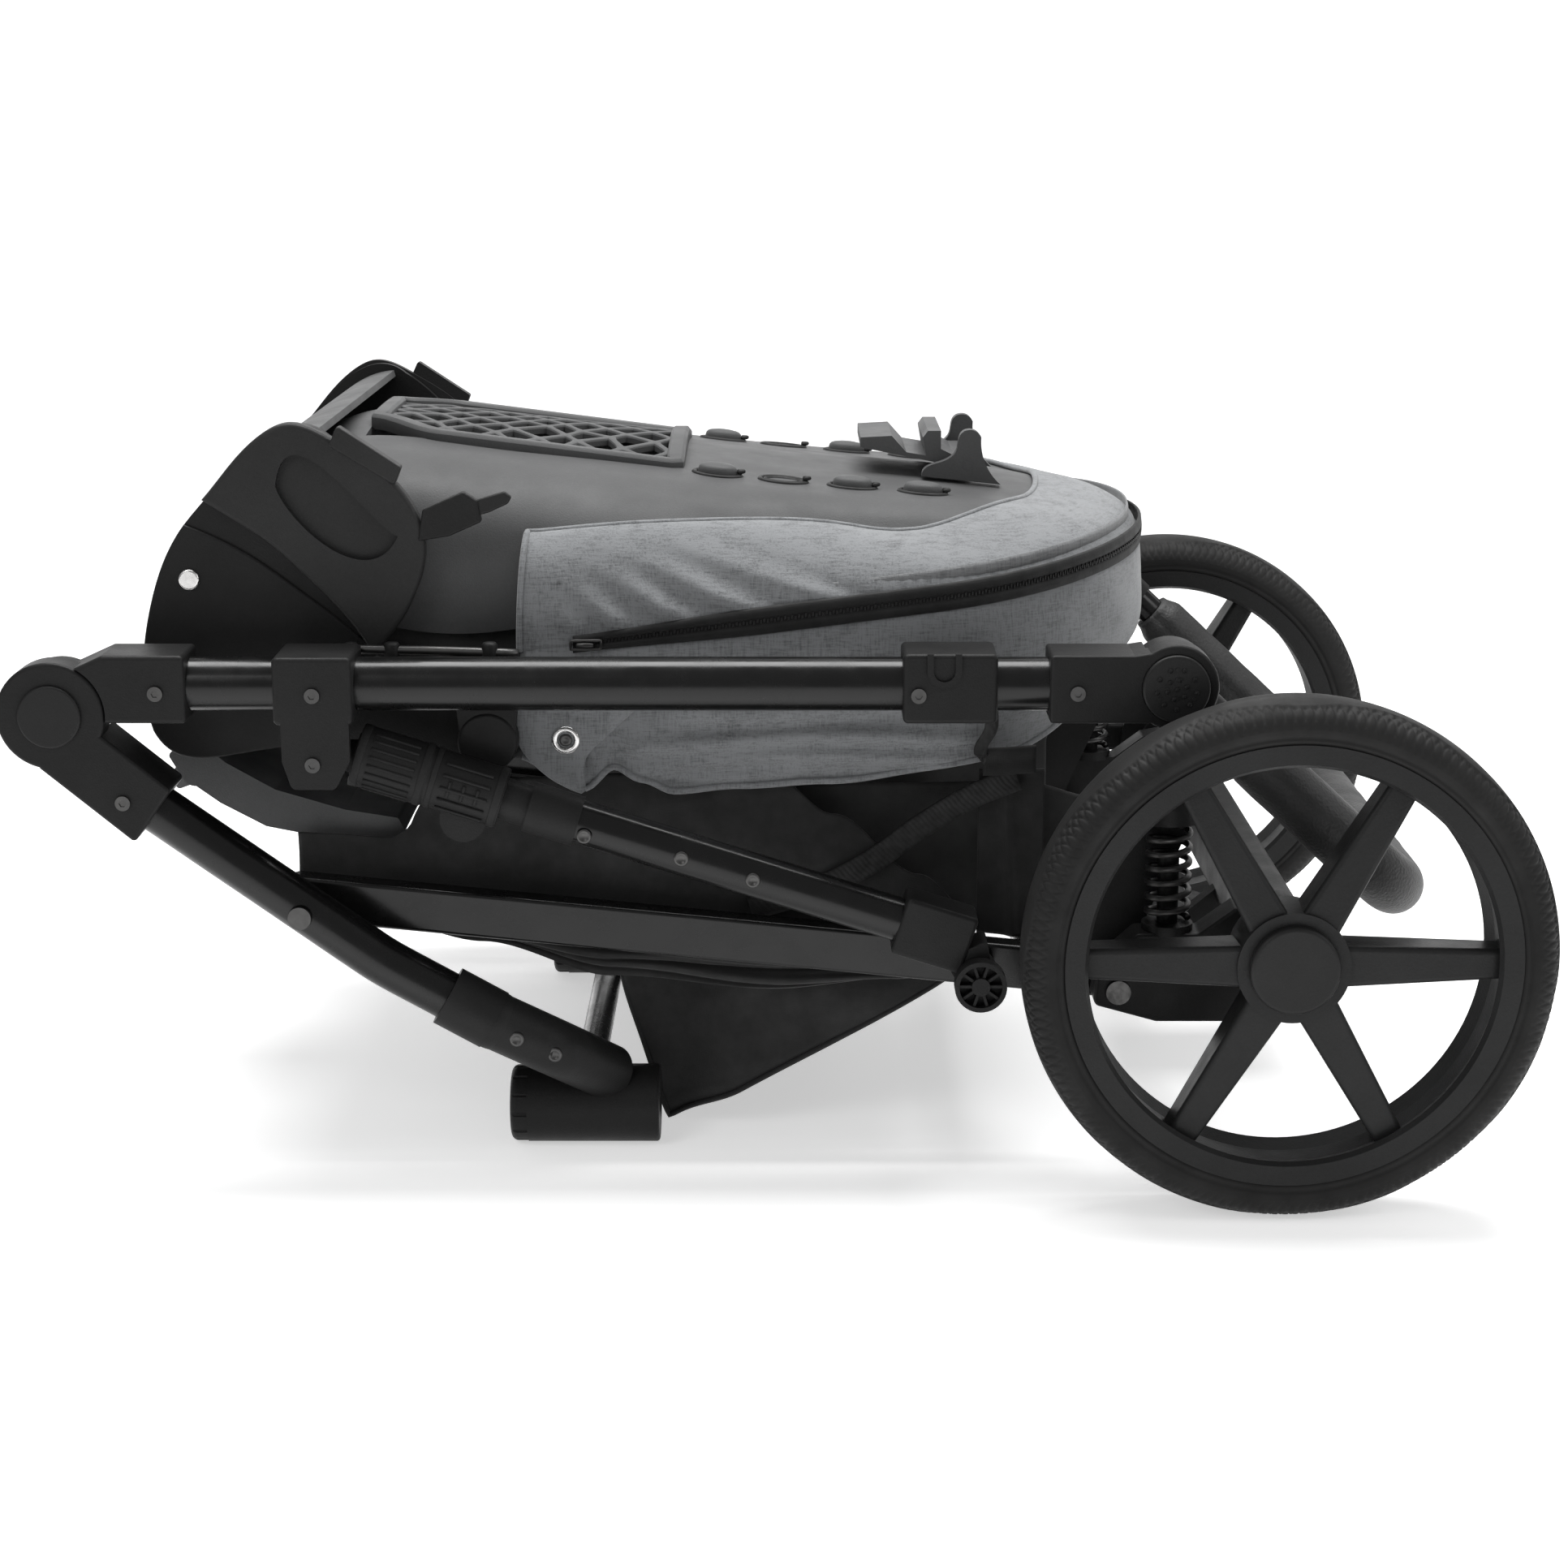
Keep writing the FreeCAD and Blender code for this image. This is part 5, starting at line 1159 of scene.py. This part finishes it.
# ---- hood trim ----------------------------------------------------------------
def hood_flap():
    """The hood's corner flap with its snap fastener."""
    left = [Vector((-147, 0, 284)), Vector((-147, 0, 262)), Vector((-143, 0, 244)), Vector((-128, 0, 228)),
            Vector((-110, 0, 219))]
    right = [Vector((-70, 0, 284)), Vector((-78, 0, 270)), Vector((-92, 0, 256)), Vector((-108, 0, 240)),
             Vector((-109, 0, 220))]
    left_line, right_line = even(catmull(left, 8), 40), even(catmull(right, 8), 40)
    for side, sign in SIDES.items():
        points = []
        for i in range(34):
            t = i / 33
            for a, b in zip(left_line, right_line):
                spot = a.lerp(b, t)
                swell = 1.6 * math.sin(math.pi * t) + 1.4 * bump(spot.x, -96 + (spot.z - 260) * 0.5, 6)
                swell += noise.noise(Vector((spot.x * 0.04, spot.z * 0.04, 2.0))) * 1.4
                points.append(Vector((spot.x, sign * (CANOPY_REACH + 3.2 + swell), spot.z)))
        flap = piece("hood_flap_" + side, "hood", points, grid_faces(34, 40), GREY_FABRIC)
        thicken(flap, 2.0, offset=0.0)
        edge = [points[j] for j in range(40)] + [points[33 * 40 + j] for j in range(39, -1, -1)]
        swept("hood_flap_hem_" + side, "hood", even(edge, 90), circle(1.2, 8), GREY_FABRIC)
        centre = Vector((-118.5, sign * (CANOPY_REACH + 6.2), 250))
        ring = oval("snap_ring", "hood", centre, (0, sign, 0), (1, 0, 0),
                    [(8.2, -2.0), (8.2, 0.2), (7.6, 1.2), (6.2, 1.5), (5.0, 1.2), (4.6, 0.2), (4.4, -1.0)],
                    1.0,
                    BRIGHT_STEEL)
        stud = oval("snap_stud", "hood", centre, (0, sign, 0), (1, 0, 0),
                    [(4.6, -1.2), (3.8, -0.4), (3.4, 0.9), (2.4, 1.3), (1.6, 0.9), (0.05, 0.8)], 1.0, STEEL)
        joined("snap_" + side, [ring, stud])


def blank_label():
    """A blank folded label on the hood's hem, and the strap that holds the hem to its clamp."""
    reach = CANOPY_REACH + 4.0
    points = []
    for i in range(16):
        for j in range(10):
            x = mix(119, 149, i / 15)
            z = mix(245, 229, j / 9) + (x - 119) * 0.06
            points.append(Vector((x, -reach - 1.1 * math.sin(i / 15 * math.pi) - 0.4 * math.sin(j), z)))
    label = piece("blank_label", "push_frame", points, grid_faces(16, 10), ZIP_TAPE)
    thicken(label, 1.2)
    for side, sign in SIDES.items():
        line = [Vector((121, sign * 222, 276)), Vector((121.5, sign * 218, 262)), Vector((117, sign * 208,
                                                            250)),
                Vector((117, sign * 199, 243)), Vector((119, sign * 190, 240)), Vector((121,
                                                            sign * (reach + 1.2), 239))]
        swept("hem_strap_" + side, "push_frame", even(catmull(line, 8), 40), circle(3.8, 14, 0.32), WEBBING)


def stitches(name, body, line, pitch, out, material):
    """A row of stitches along a line of points, standing a little proud."""
    points, faces = [], []
    length = sum((b - a).length for a, b in zip(line, line[1:]))
    spots = even(line, max(int(length / pitch) * 2, 4))
    for index in range(0, len(spots) - 1, 2):
        a, b = spots[index], spots[index + 1]
        ahead = (b - a).normalized()
        normal = out(a)
        side = ahead.cross(normal).normalized()
        start = len(points)
        for end in (a, b):
            for u, v in ((-0.32, 0.0), (0.32, 0.0), (0.26, 0.5), (-0.26, 0.5)):
                points.append(end + side * u + normal * v)
        for face in ((0, 1, 2, 3), (7, 6, 5, 4), (0, 4, 5, 1), (1, 5, 6, 2), (2, 6, 7, 3), (3, 7, 4, 0)):
            faces.append(tuple(start + k for k in face))
    return piece(name, body, points, faces, material, smooth=False)


# ---- handle grip --------------------------------------------------------------
def handle_line(start):
    """The handle's centre line from one side of its cover to the other, at rest."""
    reach, length, corner, slant = 212.0, 190.0, 42.0, math.radians(43.0)
    flat = [(start, -reach), (length - corner, -reach)]
    for index in range(1, 12):
        turn = math.pi / 2 * index / 12
        flat.append((length - corner + corner * math.sin(turn), -reach + corner - corner * math.cos(turn)))
    flat.append((length, -reach + corner))
    half = flat + [(length, 0.0)]
    whole = half + [(x, -y) for x, y in reversed(half[:-1])]
    pivot = Vector((221.0, 0.0, 290.0))
    return [pivot + Vector((x * math.cos(slant), y, -x * math.sin(slant))) for x, y in whole]


def handle_grip():
    """The handle's padded leatherette cover, sewn along its inner side."""
    line = even(handle_line(58.0), 240)
    count = 40
    points = []
    seam = []
    rings = frames_along(line)
    for index, (here, side, up) in enumerate(rings):
        t = index / (len(rings) - 1)
        ends = min(ease(t / 0.018), ease((1 - t) / 0.018))
        lump = 0.35 * noise.noise(Vector((t * 40, 2.0, 0.0)))
        for k in range(count):
            turn = 2 * math.pi * k / count
            pinch = 1.5 * math.exp(-((turn - math.pi) / 0.16) ** 2)
            pull = 0.35 * math.sin(index * 0.9) * math.exp(-((turn - math.pi) / 0.6) ** 2)
            radius = mix(13.2, 17.3, ends) + lump - pinch + pull
            points.append(here + side * radius * math.cos(turn) + up * radius * math.sin(turn))
        seam.append(here - side * 16.6)
    faces = grid_faces(len(rings), count)
    for i in range(len(rings) - 1):
        faces.append((i * count + count - 1, (i + 1) * count + count - 1, (i + 1) * count, i * count))
    faces.append(tuple(range(count)))
    faces.append(tuple((len(rings) - 1) * count + k for k in range(count))[::-1])
    grip = piece("handle_cover", "handle", points, faces, GRIP_LEATHER)
    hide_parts("handle_grip")
    centre = sum((here for here, _, _ in rings), Vector()) / len(rings)
    stitches("handle_stitches", "handle", seam, 5.0, lambda p: (centre - p).normalized(), WEBBING)


# ---- seat padding -------------------------------------------------------------
LINER_SEAMS_X = (-205.0, -150.0, -95.0, -40.0, 15.0)


def seat_padding():
    """The seat's quilted lining, puffed up between its seams by a pressure simulation."""
    mesh = frame["nodes"]["seat_liner"].data.copy()
    pad = bpy.data.objects.new("seat_padding", mesh)
    scene = bpy.context.scene
    scene.collection.objects.link(pad)
    remesh = pad.modifiers.new("remesh", "REMESH")
    remesh.mode = "VOXEL"
    remesh.voxel_size = 0.006
    bpy.context.view_layer.update()
    pad.data = bpy.data.meshes.new_from_object(pad.evaluated_get(bpy.context.evaluated_depsgraph_get()))
    pad.modifiers.clear()
    flat = [v.co.copy() for v in pad.data.vertices]
    held = []
    for index, co in enumerate(flat):
        x, y = co.x / MM, co.y / MM
        if min(abs(x - seam) for seam in LINER_SEAMS_X) < 3.2 or abs(abs(y) - 58) < 3.2:
            held.append(index)
    group = pad.vertex_groups.new(name="seams")
    group.add(held, 1.0, "REPLACE")
    cloth = pad.modifiers.new("cloth", "CLOTH")
    cloth.settings.quality = 5
    cloth.settings.vertex_group_mass = "seams"
    cloth.settings.use_pressure = True
    cloth.settings.uniform_pressure_force = 4.0
    cloth.settings.effector_weights.gravity = 0.0
    cloth.settings.tension_stiffness = 20
    cloth.settings.compression_stiffness = 20
    for number in range(1, 21):
        scene.frame_set(number)
    puffed = pad.evaluated_get(bpy.context.evaluated_depsgraph_get())
    moved = [v.co.copy() for v in puffed.data.vertices]
    pad.modifiers.clear()
    for vertex, start, end in zip(pad.data.vertices, flat, moved):
        step = end - start
        if step.length > 0.006:
            step *= 0.006 / step.length
        vertex.co = start + step
    scene.frame_set(1)
    for index in held:
        pad.data.vertices[index].co -= pad.data.vertices[index].normal * 0.0018
    pad.data.materials.clear()
    pad.data.materials.append(LINING_FABRIC)
    pad.data.shade_smooth()
    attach(pad, "seat_back")
    smoothed(pad, 1)
    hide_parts("seat_liner")


# ---- light, floor and camera -------------------------------------------------
def area_light(name, place, aim, size, power):
    light = bpy.data.lights.new(name, "AREA")
    light.shape = "RECTANGLE"
    light.size, light.size_y = size
    light.energy = power
    thing = bpy.data.objects.new(name, light)
    thing.location = place
    thing.rotation_euler = (Vector(aim) - Vector(place)).to_track_quat("-Z", "Y").to_euler()
    bpy.context.scene.collection.objects.link(thing)


def studio():
    bpy.context.scene.view_settings.view_transform = "Standard"
    world = bpy.data.worlds.new("studio")
    world.use_nodes = True
    world.node_tree.nodes["Background"].inputs[0].default_value = (1, 1, 1, 1)
    world.node_tree.nodes["Background"].inputs[1].default_value = 0.32
    bpy.context.scene.world = world
    area_light("top_light", (0.0, 0.15, 1.75), (0, 0, 0.2), (1.9, 0.7), 44)
    area_light("front_light", (-1.3, -2.0, 1.7), (0, 0, 0.2), (1.0, 1.0), 10)
    area_light("side_light", (1.9, -1.0, 1.2), (0.1, 0, 0.2), (0.8, 1.0), 7)
    rows = [(-5.0, 0.0), (2.2, 0.0)]
    for step in range(1, 13):
        turn = math.pi / 2 * step / 12
        rows.append((2.2 + 1.2 * math.sin(turn), 1.2 - 1.2 * math.cos(turn)))
    rows.append((3.4, 4.0))
    points = [(x, y, z) for x in (-6, 6) for y, z in rows]
    mesh = bpy.data.meshes.new("floor")
    mesh.from_pydata(points, [], grid_faces(2, len(rows)))
    mesh.shade_smooth()
    floor = bpy.data.objects.new("floor", mesh)
    m = Shading("floor_white", roughness=0.9, specular=0.05)
    m.base(m.colours(m.noise(3, 2), [(0.3, grey(0.87)), (0.7, grey(0.9))]))
    m.shader.inputs["Emission Color"].default_value = (1, 1, 1, 1)
    m.shader.inputs["Emission Strength"].default_value = 0.5
    mesh.materials.append(m.material)
    bpy.context.scene.collection.objects.link(floor)


def camera():
    """The view from the near side, a little above the object."""
    data = bpy.data.cameras.new("camera")
    data.lens = 67.64
    data.sensor_width = 36.0
    data.clip_end = 50.0
    thing = bpy.data.objects.new("camera", data)
    thing.location = (0.0055, -1.828, 0.620)
    thing.rotation_euler = (math.radians(90 - 13.62), 0, 0)
    bpy.context.scene.collection.objects.link(thing)
    bpy.context.scene.camera = thing


# ---- the object --------------------------------------------------------------
camera()
studio()
paint_frame()
for wheel_side in SIDES:
    tyre(wheel_side)
vent_lattice()
shock_springs()
hood_upper()
hood_lower()
hood_gusset()
hood_zip()
hood_flap()
blank_label()
plugs()
recline_buckles()
adapter_bars()
rivets()
sleeve_trim()
button_dots()
basket_bag()
dark_cloth()
seat_shade_skirts()
hem_webbing()
handle_grip()
seat_padding()
